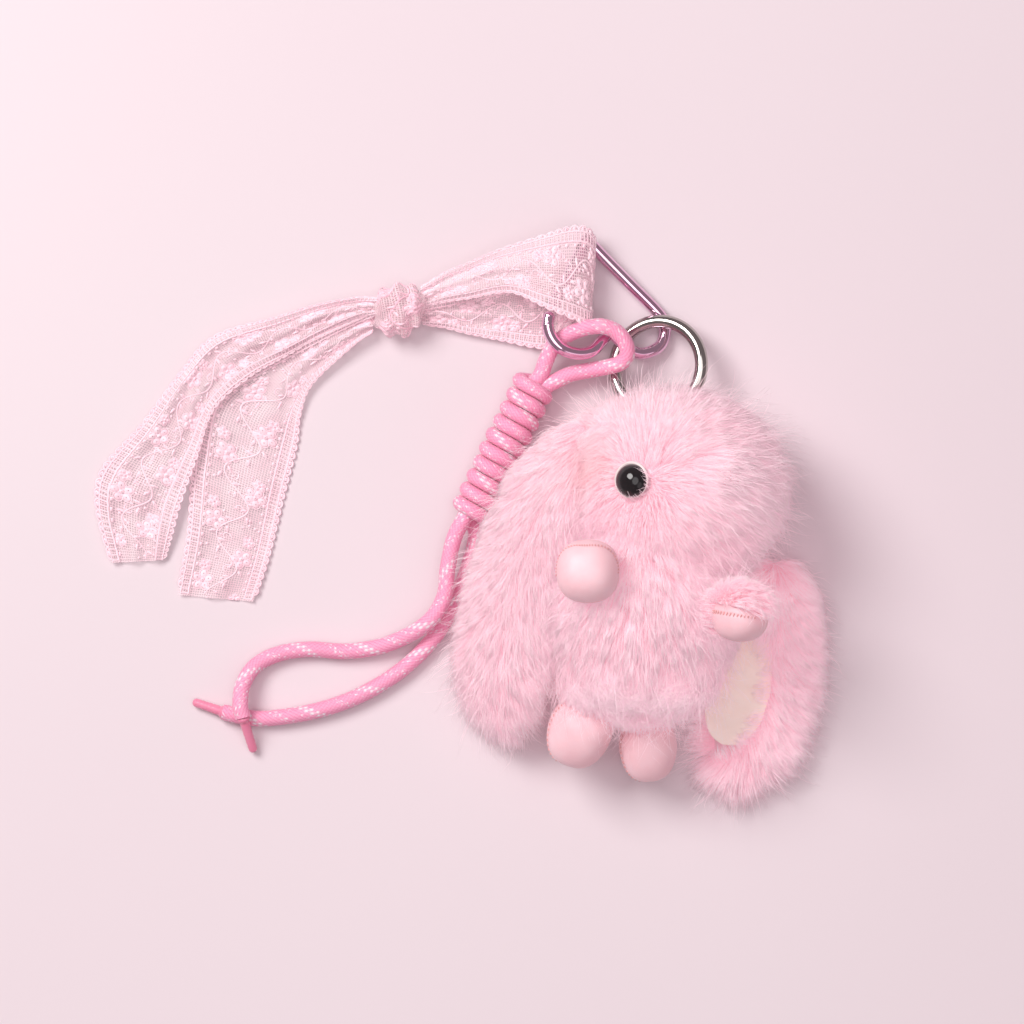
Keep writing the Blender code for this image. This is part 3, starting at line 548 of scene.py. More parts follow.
HEAD_CENTRE, HEAD_RADII = np.array([9.3, 22.0, 22.5]), np.array([25.5, 21.5, 24.0])
TORSO_CENTRE, TORSO_RADII = np.array([0.0, -10.0, 18.5]), np.array([23.5, 24.5, 22.5])
BODY_LEAN = math.radians(-13)
SKIN_INSET = 0.7
LEAN = np.array([[math.cos(BODY_LEAN), -math.sin(BODY_LEAN), 0],
                 [math.sin(BODY_LEAN), math.cos(BODY_LEAN), 0], [0, 0, 1.0]])
EAR_LEFT = [((-15.0, 38.0, 33.0), 4.0, 2.6), ((-20.5, 29.5, 32.0), 8.0, 3.8),
            ((-27.0, 14.0, 28.0), 10.0, 4.2), ((-32.0, -2.0, 22.5), 11.0, 4.2),
            ((-35.5, -18.0, 17.0), 11.5, 4.2),
            ((-36.5, -31.0, 12.5), 10.5, 3.8), ((-35.0, -39.5, 9.5), 6.0, 2.6)]
EAR_LEFT_NORMAL = unit([-0.5, 0.1, 0.86])
EAR_RIGHT = [((36.0, 2.0, 9.0), 5.0, 3.0), ((36.0, -6.0, 7.0), 8.5, 3.5), ((34.5, -17.0, 3.6), 11.0, 3.3),
             ((32.0, -30.0, 3.2), 12.5, 3.1), ((29.0, -42.0, 3.1), 12.0, 3.0), ((26.0, -50.0, 3.0), 9.5, 2.8),
             ((24.5, -55.0, 2.8), 5.0, 2.0)]
LINING_RIGHT = [((30.0, -14.5, 7.9), 3.5), ((28.8, -23.0, 7.4), 6.0), ((26.5, -33.0, 7.1), 7.2),
                ((24.0, -41.0, 7.0), 7.0), ((22.0, -46.5, 6.9), 4.0)]
LINING_LEFT_DROP = 5.4             # how far the left lining lies under the ear's spine
LINING_LEFT = [(tuple(np.array(place_at) - LINING_LEFT_DROP * EAR_LEFT_NORMAL), wide) for place_at, wide in (
    ((-33.2, -8.0, 20.0), 4.5), ((-35.0, -17.0, 17.0), 7.0),
    ((-36.0, -27.0, 13.6), 6.5), ((-35.8, -33.0, 11.6), 4.0))]
# Each limb: body, CAD nodes, root, tip, sleeve radius, cap radius, cap reach
LIMBS = {
    "arm_left": ("arm_left_sleeve", "paw_left", (-11.5, -2.6, 27.0), (-13.6, -0.6, 41.5), 6.5, 8.3, 12.5),
    "arm_right": ("arm_right_sleeve", "paw_right", (12.5, -9.6, 29.0), (21.4, -10.9, 38.2), 6.0, 6.9, 13.0),
    "leg_left": ("leg_left_sleeve", "foot_left", (-9.5, -24.0, 21.0), (-13.8, -36.0, 18.8), 7.0, 8.6, 16.5),
    "leg_right": ("leg_right_sleeve", "foot_right", (0.6, -26.0, 18.0), (1.6, -40.5, 15.0), 6.2, 7.7, 15.5),
}
EYE_SPREAD, EYE_RISE, EYE_RADIUS, EYE_HEIGHT = 11.9, 1.6, 4.5, 3.6


def ellipsoid(centre, radii, rows=72, around=96):
    """A leaning ellipsoid with soft lumps, its long axis up the body, flattened where it lies."""
    rise = np.linspace(-math.pi / 2 + 0.01, math.pi / 2 - 0.01, rows)[:, None]
    turn = np.linspace(0, 2 * math.pi, around, endpoint=False)[None]
    shape = np.stack([np.cos(rise) * np.cos(turn), np.sin(rise) + 0 * turn, np.cos(rise) * np.sin(turn)], -1)
    x, y, z = np.moveaxis(shape, -1, 0)
    lump = 1 + 0.012 * np.sin(x * 9 + 1) * np.sin(y * 11) * np.sin(z * 8 + 2)
    points = (shape * (np.asarray(radii) - SKIN_INSET) * lump[..., None]) @ LEAN.T + centre
    points[..., 2] = np.maximum(points[..., 2], 0.3)
    return points.reshape(-1, 3), grid_quads(rows, around)[:, ::-1]


def tongue_surface(stations, normal, inset=0.0, around=56, step=1.2, power=1.0):
    """A flat swept shape along a smooth spine, with rounded ends."""
    spine = smooth_curve([s[0] for s in stations], step)
    at = np.linspace(0, len(stations) - 1, len(spine))
    wide = np.interp(at, range(len(stations)), [s[1] for s in stations]) - inset
    thick = np.interp(at, range(len(stations)), [s[2] if len(s) > 2 else 0.6 for s in stations]) - inset * 0.6
    reach = np.linspace(0, 1, len(spine))
    ends = np.sqrt(np.clip(1 - (np.abs(reach - 0.5) * 2) ** 8, 0.004, 1))
    along = unit(np.gradient(spine, axis=0))
    across = unit(np.cross(along, normal))
    up = np.cross(across, along)
    angle = np.linspace(0, 2 * math.pi, around, endpoint=False)
    c, s = np.cos(angle), np.sin(angle)
    c, s = np.sign(c) * np.abs(c) ** power, np.sign(s) * np.abs(s) ** power
    points = (spine[:, None] + across[:, None] * (wide * ends)[:, None, None] * c[None, :, None]
              + up[:, None] * (thick * ends)[:, None, None] * s[None, :, None])
    points[..., 2] = np.maximum(points[..., 2], 0.15)
    return points.reshape(-1, 3), grid_quads(len(spine), around)[:, ::-1], spine, along, across


def limb_axes(limb):
    _, _, root, tip, *_ = LIMBS[limb]
    root, tip = np.array(root), np.array(tip)
    return root, tip, unit(tip - root), np.linalg.norm(tip - root)


def sleeve_surface(limb):
    root, tip, axis, length = limb_axes(limb)
    radius = LIMBS[limb][4] - SKIN_INSET
    profile = [(-1.0, radius * 0.9)]
    profile += [(t * length, radius * (1 - 0.12 * t**2)) for t in np.linspace(0, 1, 14)]
    profile += [(length + 0.9, radius * 0.72), (length + 1.0, 0.02)]
    return turned_points(profile, root, axis, 40)


# ---------------------------------------------------------------- plush: fur

# Painted shade in the pile: each hair runs from a darker, rosier root to a pale tip.
FUR_ROOT, FUR_MID, FUR_TIP = np.array([(0.95, 0.57, 0.67), (0.98, 0.77, 0.83), (1.0, 0.91, 0.945)])
# Painted shade: a darker, rosier colour for the hollow where the left ear meets the head.
FUR_EAR_HOLLOW_SHADE = np.array([0.97, 0.52, 0.50])
MID_AT = 0.45                      # where a hair has its middle colour, from 0 at the root to 1
EAR_HOLLOW_SHADE_PLACE, EAR_HOLLOW_SHADE_REACH = np.array([-11.5, 29.0]), 6.0
WHORL = np.array([-0.3, 22.6])
STRAND_AT = np.array([0.0, 0.3, 0.65, 1.0])
STRAND_WIDTH = np.array([1.0, 0.9, 0.6])
HAIR_RADIUS = 0.062
STRANDS_PER_PIECE = 13000
CLUMPS = ((6.0, 0.30), (3.2, 0.32), (1.5, 0.42))     # the spacing in millimetres and the pull of each size
STRAY_SHARE = 0.10


def scatter(points, quads, count, rng):
    """Random places on a surface, evenly by area, with their smooth normals."""
    tris = np.vstack([quads[:, [0, 1, 2]], quads[:, [0, 2, 3]]])
    a, b, c = (points[tris[:, k]] for k in range(3))
    cross = np.cross(b - a, c - a)
    area = np.linalg.norm(cross, axis=1)
    normals = np.zeros_like(points)
    for k in range(3):
        np.add.at(normals, tris[:, k], cross)
    normals = unit(normals)
    picked = rng.choice(len(tris), count, p=area / area.sum())
    u, v = rng.random(count), rng.random(count)
    fold = u + v > 1
    u[fold], v[fold] = 1 - u[fold], 1 - v[fold]
    w = 1 - u - v
    t = tris[picked]

    def mix(values):
        return values[t[:, 0]] * w[:, None] + values[t[:, 1]] * u[:, None] + values[t[:, 2]] * v[:, None]

    return mix(points), unit(mix(normals))


def hair_curves(roots, normals, comb, length, lift):
    """Each hair leaves the skin at a slant and bends over the way it is combed."""
    t = STRAND_AT[None, :, None]
    flow = np.linalg.norm(comb, axis=1)[:, None, None]
    out = normals[:, None] * (lift[:, None, None] * (t - (0.30 + 0.32 * flow) * t**2))
    lay = comb[:, None] * (0.55 * t + 0.40 * t**2)
    return roots[:, None] + (out + lay) * length[:, None, None]


def clump_pull(curves, roots, normals, comb, length, lift, spacing, strength, rng):
    """Draws hairs towards the nearest of some leading hairs, more towards their tips."""
    count = max(4, int(len(roots) / (spacing**2 * 5.0)))
    leads = rng.choice(len(roots), count, replace=False)
    tree = KDTree(count)
    for k, lead in enumerate(leads):
        tree.insert(roots[lead], k)
    tree.balance()
    own = np.array([tree.find(r)[1] for r in roots])
    lead_curves = hair_curves(roots[leads], normals[leads], comb[leads], length[leads] * 1.06,
                              lift[leads] * 1.12)
    pull = strength * STRAND_AT[None] ** 1.25 * rng.uniform(0.55, 1.0, len(roots))[:, None]
    return curves + (lead_curves[own] - curves) * pull[..., None], own


def value_of(rule, roots, normals):
    """A rule is one value for all roots, or a function of the roots and their normals."""
    return rule(roots, normals) if callable(rule) else rule


def grow_fur(name, body, surface, comb_of, length_of, per_mm2, keep=None, lift=0.95, clumps=CLUMPS, seed=1):
    """Hairs over a surface. comb_of, length_of and lift are rules, and keep says which roots stay."""
    rng = np.random.default_rng(seed)
    points, quads = surface
    a, b, c, d = (points[quads[:, k]] for k in range(4))
    area = np.linalg.norm(np.cross(c - a, d - b), axis=1).sum() / 2
    thin = 1.0
    roots, normals = scatter(points, quads, int(area * per_mm2 * thin), rng)
    if keep is not None:
        stay = keep(roots, normals)
        roots, normals = roots[stay], normals[stay]
    count = len(roots)
    comb = value_of(comb_of, roots, normals) + 0 * roots
    strong = np.minimum(np.linalg.norm(comb, axis=1, keepdims=True), 1.0)
    comb = unit(comb) + rng.normal(0, 0.14, (count, 3))
    comb = unit(comb - normals * np.sum(comb * normals, 1, keepdims=True)) * strong
    length = value_of(length_of, roots, normals) * rng.triangular(0.60, 1.0, 1.18, count)
    lifts = value_of(lift, roots, normals) * rng.uniform(0.75, 1.2, count)
    curves = hair_curves(roots, normals, comb, length, lifts)
    tone = np.zeros(count)
    for spacing, strength in clumps:
        curves, own = clump_pull(curves, roots, normals, comb, length, lifts, spacing, strength, rng)
        tone += rng.normal(0, 0.5, own.max() + 1)[own] * 0.7
    stray = rng.random(count) < STRAY_SHARE
    astray = unit(comb[stray] + rng.normal(0, 0.35, (stray.sum(), 3)))
    curves[stray] = hair_curves(roots[stray], normals[stray], astray, length[stray] * 1.15,
                                lifts[stray] * 1.2)
    curves += rng.normal(0, 0.05, curves.shape) * STRAND_AT[None, :, None] * length[:, None, None] * 0.25
    curves[..., 2] = np.maximum(curves[..., 2], 0.12 + 0.25 * rng.random((count, 1)))

    return strand_pieces(name, body, curves, normals, fur_colour(roots, normals, tone))


def fur_colour(roots, normals, tone):
    """Each hair's colour from root to tip, darker at the root as painted shade in the pile, with painted
    shade in the hollow by the root of the left ear. tone is a clump's own shade.
    """
    t = STRAND_AT[None, :, None]
    # Painted shade in the pile: darker and rosier at the root, pale at the tip.
    colour = np.where(t < MID_AT, FUR_ROOT + (FUR_MID - FUR_ROOT) * (t / MID_AT),
                      FUR_MID + (FUR_TIP - FUR_MID) * ((t - MID_AT) / (1 - MID_AT)))
    colour = np.broadcast_to(colour, (len(roots), len(STRAND_AT), 3)).copy()
    # Painted shade: hairs on the upper face near the root of the left ear are mixed towards a darker, rosier
    # colour.
    ear_hollow_shade = np.exp(-np.sum((roots[:, :2] - EAR_HOLLOW_SHADE_PLACE) ** 2, 1) / EAR_HOLLOW_SHADE_REACH**2) * (normals[:, 2] > 0)
    colour += (FUR_EAR_HOLLOW_SHADE - colour) * (0.45 * ear_hollow_shade)[:, None, None]
    colour *= 1 + 0.045 * tone[:, None, None] * np.array([0.35, 1.0, 0.8])
    return np.clip(colour, 0, 1)


def strand_pieces(name, body, curves, normals, colour):
    """Each hair as a three-sided tube that ends in a point, in pieces of a good size."""
    count = len(curves)
    tangent = unit(np.gradient(curves, axis=1))
    side = unit(np.cross(tangent, normals[:, None] + 0.01))
    up = np.cross(side, tangent)
    angle = np.array([0.3, 0.3 + 2 * math.pi / 3, 0.3 + 4 * math.pi / 3])[:, None]
    wide = HAIR_RADIUS * 1.0 * STRAND_WIDTH[None, :, None, None]
    spokes = side[:, :3, None] * np.cos(angle) + up[:, :3, None] * np.sin(angle)
    rings = curves[:, :3, None] + wide * spokes
    verts = np.concatenate([rings.reshape(count, 9, 3), curves[:, 3:]], 1)
    tints = np.concatenate([np.repeat(colour[:, :3], 3, 1), colour[:, 3:]], 1)
    faces = []
    for r in range(2):
        for k in range(3):
            m = (k + 1) % 3
            faces += [(3 * r + k, 3 * r + m, 3 * r + 3 + m), (3 * r + k, 3 * r + 3 + m, 3 * r + 3 + k)]
    faces = np.array(faces + [(6 + k, 6 + (k + 1) % 3, 9) for k in range(3)])
    for number, start in enumerate(range(0, count, STRANDS_PER_PIECE), 1):
        some = slice(start, start + STRANDS_PER_PIECE)
        strand_faces = (np.arange(len(verts[some]))[:, None, None] * 10 + faces[None]).reshape(-1, 3)
        place(mesh_object(f"{name}_{number}", verts[some].reshape(-1, 3), strand_faces, FUR,
                          tint=tints[some].reshape(-1, 3)), body, "fur")


def apart(places, point):
    return np.linalg.norm(places - point, axis=1)


def part_way(values, start, reach):
    """0 up to start, 1 from start + reach, and even steps between."""
    return np.clip((values - start) / reach, 0, 1)


def clear_of_eyes(roots, normals):
    return (apart(roots, eye_place(-1)[0]) > EYE_RADIUS + 0.2) & (apart(roots, eye_place(1)[0]) > 2.2)


# The fur between the head and the root of the left ear, as a line along the ear and a line on the head
BRIDGE_OUTER = [(-11.5, 39.0, 33.0), (-14.0, 30.0, 34.5), (-16.5, 20.0, 34.0), (-18.5, 12.0, 31.0)]
BRIDGE_INNER = [(-3.0, 40.0, 32.0), (-7.5, 31.0, 37.0), (-9.5, 20.0, 38.0), (-11.0, 11.0, 31.0)]


def head_comb(roots, normals):
    """Out from a whorl beside the eye, more to the right and down on the right, down the sides."""
    away = roots[:, :2] - WHORL
    far = np.linalg.norm(away, axis=1, keepdims=True)
    away = away / (far + 5.0)
    right, left = part_way(roots[:, 0], 4, 10), part_way(-roots[:, 0], 3, 8)
    side = 1 - np.clip(normals[:, 2], 0, 1)
    return np.stack([away[:, 0] + 0.30 * right - 0.1 * left, away[:, 1] - 0.45 * right - 0.45 * left - 0.05,
                     (0.45 * left - 0.8 * (1 - left)) * side], 1)


def head_length(roots, normals):
    right, left = part_way(roots[:, 0], -2, 14), part_way(-roots[:, 0], 6, 6)
    high, low = part_way(roots[:, 1], 28, 10), part_way(-roots[:, 1], -10, 8)
    length = 6.4 + 4.6 * right + 4.4 * high * (1 - right) + 3.0 * low + 6.0 * left * (1 - 0.6 * high)
    length += 1.5 * np.exp(-(apart(roots, eye_place(1)[0]) / 7.5) ** 2)
    return length * np.clip(0.45 + 0.55 * (apart(roots, eye_place(-1)[0]) - 4.5) / 6, 0.45, 1)


def head_lift(roots, normals):
    high, left = part_way(roots[:, 1], 26, 12), part_way(-roots[:, 0], 6, 6)
    return 0.85 + 0.20 * high + 0.20 * left + 0.3 * np.exp(-(apart(roots, eye_place(1)[0]) / 7.0) ** 2)


def torso_comb(roots, normals):
    away = roots[:, 0] - TORSO_CENTRE[0]
    side = 1 - np.clip(normals[:, 2], 0, 1)
    low = part_way(-roots[:, 1], 18, 8)
    return np.stack([0.035 * away, -1.0 + 0 * away, -0.7 * side * (1 - low) + 0.15 + 0.5 * low], 1)


def torso_length(roots, normals):
    return 10.0 + 5.0 * part_way(-roots[:, 1], 18, 8)


def ear_comb(spine, along, across, spread):
    def comb(roots, normals):
        nearest = np.argmin(((roots[:, None] - spine[None]) ** 2).sum(-1), axis=1)
        off = np.sum((roots - spine[nearest]) * across[nearest], 1, keepdims=True)
        return along[nearest] + across[nearest] * off * spread
    return comb


def lining_gap(roots, stations):
    """How far each place is outside the lining's outline, in millimetres across the ear."""
    spine = smooth_curve([s[0] for s in stations], 0.8)
    at = np.linspace(0, len(stations) - 1, len(spine))
    wide = np.interp(at, range(len(stations)), [s[1] for s in stations])
    gap = np.sqrt(((roots[:, None, :2] - spine[None, :, :2]) ** 2).sum(-1)) - wide[None]
    return gap.min(axis=1)


def make_skin(name, body, surface, *nodes):
    points, quads = surface
    return place(mesh_object(name, points, quads, SKIN), body, "fur", *nodes)


def make_body_fur():
    head, torso = ellipsoid(HEAD_CENTRE, HEAD_RADII), ellipsoid(TORSO_CENTRE, TORSO_RADII)
    make_skin("head_skin", "plush", head, "head_pelt")
    make_skin("torso_skin", "plush", torso, "torso_pelt")
    grow_fur("head_fur", "plush", head, head_comb, head_length, 9.0, clear_of_eyes, lift=head_lift, seed=11)
    grow_fur("torso_fur", "plush", torso, torso_comb, torso_length, 8.5, lambda r, n: r[:, 1] < 12, seed=12,
             clumps=((7.0, 0.40), (3.2, 0.38), (1.6, 0.42)))

    rows, columns = 30, 14
    outer, inner = rail(BRIDGE_OUTER, rows)[:, None], rail(BRIDGE_INNER, rows)[:, None]
    bridge = outer + (inner - outer) * np.linspace(0, 1, columns)[None, :, None]
    quads = grid_quads(rows, columns, closed=False)[:, ::-1]
    grow_fur("bridge_fur", "plush", (bridge.reshape(-1, 3), quads), np.array([-0.7, -0.6, -0.1]), 9.5, 9.0,
             lift=0.75, seed=18)

    hidden, thinning = eye_place(1)[0], np.random.default_rng(5)

    def over_hidden_eye(roots, normals):
        return apart(roots, hidden + [-3.0, 1.0, 0]) < 3.5 + 5.0 * thinning.random(len(roots))

    grow_fur("fringe_fur", "plush", head, np.array([0.95, -0.35, 0.0]), 11.0, 14.0, over_hidden_eye,
             lift=1.2, seed=15)
    eye = eye_place(-1)[0]

    def near_open_eye(roots, normals):
        off = roots - eye
        gone = np.linalg.norm(off, axis=1)
        return (gone > EYE_RADIUS + 0.1) & (gone < EYE_RADIUS + 1.5) & (off[:, 0] - off[:, 1] * 1.2 > 3.0)

    grow_fur("lash_fur", "plush", head, lambda r, n: unit(eye - r) + np.array([-0.3, 0.7, 0.0]), 4.6, 3.2,
             near_open_eye, lift=1.7, clumps=((1.5, 0.3),), seed=16)


def make_left_ear_fur():
    points, quads, spine, along, across = tongue_surface(EAR_LEFT, EAR_LEFT_NORMAL, SKIN_INSET)
    make_skin("ear_left_skin", "ear_left", (points, quads), "ear_left_pelt")
    swept = ear_comb(spine, along, across, 0.09)

    def comb(roots, normals):
        return swept(roots, normals) + part_way(roots[:, 1], 14, 12)[:, None] * [-0.5, 0.0, 0.0]

    def length(roots, normals):
        return 10.5 + 1.5 * part_way(-roots[:, 1], 10, 15) - 3.0 * part_way(roots[:, 1], 28, 6)

    def off_lining(roots, normals):
        return (normals @ EAR_LEFT_NORMAL > -0.3) | (lining_gap(roots, LINING_LEFT) > 0.3)

    grow_fur("ear_left_fur", "ear_left", (points, quads), comb, length, 8.5, off_lining, seed=13)


def make_right_ear_fur():
    points, quads, spine, along, across = tongue_surface(EAR_RIGHT, UP, SKIN_INSET)
    make_skin("ear_right_skin", "ear_right", (points, quads), "ear_right_pelt")
    inner_line = np.array([s[0] for s in LINING_RIGHT])

    def off_lining(roots, normals):
        return (normals[:, 2] < 0.1) | (lining_gap(roots, LINING_RIGHT) > -0.3)

    def round_lining(roots, normals):
        gap = lining_gap(roots, LINING_RIGHT)
        return (normals[:, 2] > 0.1) & (gap > -0.3) & (gap < 3.0)

    def to_lining(roots, normals):
        y = roots[:, 1]
        middle = np.interp(-y, -inner_line[:, 1], inner_line[:, 0])
        inward = np.sign(middle - roots[:, 0])
        ends = np.where(y > inner_line[0, 1], -0.6, np.where(y < inner_line[-1, 1], 0.9, -0.2))
        return np.stack([inward * np.where(np.abs(ends) > 0.5, 0.3, 1.0), ends, 0.1 + 0 * y], 1)

    grow_fur("ear_right_fur", "ear_right", (points, quads), ear_comb(spine, along, across, 0.26),
             lambda r, n: 9.2 + 2.2 * part_way(-r[:, 1], 35, 12), 9.0, off_lining, lift=1.15,
             clumps=((5.0, 0.35), (2.6, 0.42), (1.4, 0.45)), seed=14)
    grow_fur("ear_right_edge_fur", "ear_right", (points, quads), to_lining, 5.5, 7.0, round_lining, seed=17)


def make_limb_fur():
    for k, (limb, (sleeve, *_)) in enumerate(LIMBS.items()):
        surface = sleeve_surface(limb)
        make_skin(limb + "_skin", limb, surface, sleeve)
        root, _, axis, length = limb_axes(limb)

        def off_end(roots, normals, root=root, axis=axis, length=length):
            return (roots - root) @ axis < length + 0.5

        grow_fur(limb + "_fur", limb, surface, axis, 5.4, 7.5, off_end, seed=20 + k, lift=0.9)


# ---------------------------------------------------------------- plush: paws, linings and eyes

LEG_SEAM = 0.40


def seam_gap(limb, reach, turn):
    """How far a place on a cap is from its seam, in seam widths."""
    if limb == "arm_left":
        return (reach - 0.62 + 0.12 * np.cos(2 * turn)) / 0.014 + 40 * np.clip(-0.2 - np.sin(turn), 0, 1)
    if limb == "arm_right":
        return np.where(np.sin(turn) > 0, np.cos(turn) / 0.04, 40)
    return np.sin(turn - LEG_SEAM) / 0.035


def seam_line(limb):
    """Places along a cap's seam, as (reach, turn) and the turn or reach across it."""
    if limb == "arm_left":
        turns = np.arange(-0.15, math.pi + 0.15, 0.105)
        return [(0.62 - 0.12 * math.cos(2 * t), t, 0.016, 0.0) for t in turns]
    if limb == "arm_right":
        return [(r, math.pi / 2, 0.0, 0.055) for r in np.arange(0.07, 0.93, 0.05)]
    sides = (LEG_SEAM, math.pi + LEG_SEAM)
    return [(r, side, 0.0, 0.055) for side in sides for r in np.arange(0.07, 0.93, 0.055)]


def cap_point(limb, reach, turn, out=0.0):
    """A place on a limb's leather cap: reach from 0 at the fur to 1 at its end, turn round its axis."""
    _, _, _, _, sleeve, cap, cap_reach = LIMBS[limb]
    root, tip, axis, length = limb_axes(limb)
    across = unit(np.cross(axis, UP if abs(axis[2]) < 0.8 else (0, 1.0, 0)))
    up = np.cross(across, axis)
    reach, turn = np.broadcast_arrays(np.asarray(reach, float), np.asarray(turn, float))
    swell = math.pi * (0.13 + 0.87 * reach)
    flat = np.sin(swell) ** 0.72
    box = (np.abs(np.cos(turn)) ** 2.6 + np.abs(np.sin(turn)) ** 2.6) ** (-1 / 2.6)
    pucker = 0.010 * np.cos(turn * 14 + reach * 9) * np.exp(-((reach - 0.10) / 0.10) ** 2)
    seam = -0.030 * np.exp(-seam_gap(limb, reach, turn) ** 2)
    radius = cap * flat * (0.45 + 0.55 * box) * (1 + pucker + seam) + out
    along = length + 0.3 + cap_reach * (1 - np.cos(math.pi * reach)) / 2
    along = along + out * np.cos(math.pi * (1 - reach)) * 0.6
    return (root + along[..., None] * axis + radius[..., None]
            * (np.cos(turn)[..., None] * across + np.sin(turn)[..., None] * up))


def short_tubes(ends, radius, around=8):
    """Many short rounded tubes in one mesh, each from a pair of points."""
    all_points, all_quads, offset = [], [], 0
    for start, end in ends:
        path = np.array([start + (end - start) * t for t in (0, 0.06, 0.25, 0.5, 0.75, 0.94, 1)])
        swell = radius * np.array([0.15, 0.7, 1, 1.05, 1, 0.7, 0.15])
        points, quads = tube_points(path, swell[:, None], around)
        all_points.append(points)
        all_quads.append(quads + offset)
        offset += len(points)
    return np.vstack(all_points), np.vstack(all_quads)


def make_cap_fur():
    """The back of the right paw is fur, all above its seam."""
    reach, turn = np.linspace(0.02, 0.97, 30), np.linspace(math.pi / 2 + 0.30, 3 * math.pi / 2 - 0.12, 40)
    points = cap_point("arm_right", reach[:, None], turn[None]).reshape(-1, 3)
    root, _, axis, _ = limb_axes("arm_right")
    quads = grid_quads(30, 40, closed=False)
    a, b, d = (points[quads[len(quads) // 2, k]] for k in (0, 1, 3))
    if np.cross(b - a, d - a) @ (a - root - axis * 10) < 0:
        quads = quads[:, ::-1]
    grow_fur("arm_right_back_fur", "arm_right", (points, quads), np.array([0.1, -0.12, 0.1]) + axis * 0.35,
             7.5, 9.0, seed=31, lift=0.75)


def make_caps():
    for limb, (_, node_name, *_) in LIMBS.items():
        reach = np.linspace(0, 1, 64) ** 0.9
        turn = np.linspace(0, 2 * math.pi, 96, endpoint=False)
        points = cap_point(limb, reach[:, None], turn[None]).reshape(-1, 3)
        cap = mesh_object(node_name + "_leather", points, grid_quads(64, 96), PAW)
        place(cap, limb, "paw_leather", node_name)
        stitches = []
        for r, t, over, round_by in seam_line(limb):
            stitches.append((cap_point(limb, r - over, t - round_by - 0.02, 0.06),
                             cap_point(limb, r + over + 0.012, t + round_by + 0.02, 0.06)))
        for a in np.arange(0, 2 * math.pi, 0.17):
            stitches.append((cap_point(limb, 0.055, a, 0.05), cap_point(limb, 0.055, a + 0.095, 0.05)))
        points, quads = short_tubes(stitches, 0.19)
        place(mesh_object(node_name + "_stitches", points, quads, THREAD), limb, "paw_leather")


def make_lining(name, body, stations, normal, node_name):
    spine_stations = [(s[0], s[1] + 0.9, 0.55) for s in stations]
    points, quads, *_ = tongue_surface(spine_stations, normal, 0.0, around=72, step=0.5, power=0.8)
    x, y = points[:, 0], points[:, 1]
    wave = 0.10 * np.sin(y * 0.9 + x * 0.5) + 0.06 * np.sin(y * 2.3 - x)
    points = points + np.outer(wave, normal)
    place(mesh_object(name, points, quads, SUEDE), body, "ear_lining", node_name)


def eye_place(sign):
    """The eye's place on the head's surface, and the way it faces."""
    x, y = HEAD_CENTRE[0] + sign * EYE_SPREAD, HEAD_CENTRE[1] + EYE_RISE
    local = LEAN.T @ np.array([x - HEAD_CENTRE[0], y - HEAD_CENTRE[1], 0])
    rest = 1 - (local[0] / HEAD_RADII[0]) ** 2 - (local[1] / HEAD_RADII[1]) ** 2
    height = HEAD_RADII[2] * math.sqrt(rest)
    normal = LEAN @ unit(np.array([local[0], local[1], height]) / HEAD_RADII**2)
    return np.array([x, y, HEAD_CENTRE[2] + height]), unit(normal)


RIM_SHIFT = np.array([-0.22, 0.30, 0.0])      # each eye sits off centre in its rim
EYE_RIM_PROFILE = [(0.05, -0.45), (0.12, 0.30), (0.50, 0.38), (0.80, 0.20), (0.90, -0.10), (0.6, -0.45)]


def make_eyes():
    for sign, side in ((-1, "left"), (1, "right")):
        point, normal = eye_place(sign)
        profile = [(-5.5, 0.02), (-5.5, 1.4), (0.1, 1.45), (0.15, EYE_RADIUS - 0.5), (0.3, EYE_RADIUS - 0.1)]
        profile += [(0.5 + (EYE_HEIGHT - 0.1) * math.sin(a), (EYE_RADIUS - 0.1) * math.cos(a) ** 0.9)
                    for a in np.linspace(0.02, math.pi / 2 - 0.01, 28)]
        points, quads = turned_points(profile, point, normal, 64)
        place(mesh_object("eye_dome_" + side, points, quads, EYE), "plush", "eye", "eye_" + side)
        rim = [(at, EYE_RADIUS + past) for at, past in EYE_RIM_PROFILE]
        points, quads = turned_points(rim, point + RIM_SHIFT, normal, 64)
        place(mesh_object("eye_rim_" + side, points, quads, EYE_RIM), "plush", "eye")


# ---------------------------------------------------------------- lace ribbon

# Each sheet's stations are pairs of edge points: (x, y, z) along one edge and across from it.
LACE_LOOP = [
    ((-58.6, 75.6, 6.0), (-58.4, 70.4, 5.6)), ((-52.0, 79.4, 7.0), (-52.0, 71.8, 6.4)),
    ((-46.0, 81.8, 8.2), (-46.0, 72.6, 8.4)), ((-37.3, 85.3, 10.2), (-34.7, 74.2, 11.4)),
    ((-25.0, 89.0, 12.0), (-25.3, 70.4, 14.6)), ((-18.6, 90.8, 11.6), (-17.3, 67.2, 13.4)),
    ((-14.0, 90.6, 10.4), (-13.4, 65.4, 10.4)), ((-11.7, 87.6, 7.6), (-12.9, 65.0, 6.8)),
    ((-13.0, 84.6, 4.8), (-14.3, 64.4, 4.2)), ((-17.2, 83.0, 3.0), (-17.4, 62.4, 3.0)),
    ((-24.0, 80.5, 2.6), (-25.3, 59.9, 2.2)), ((-34.7, 76.4, 2.4), (-36.8, 61.8, 1.8)),
    ((-46.0, 73.2, 3.0), (-46.2, 63.6, 2.4)), ((-52.0, 71.6, 3.8), (-52.0, 65.0, 3.2)),
    ((-58.6, 70.0, 4.4), (-58.2, 65.8, 4.2)),
]
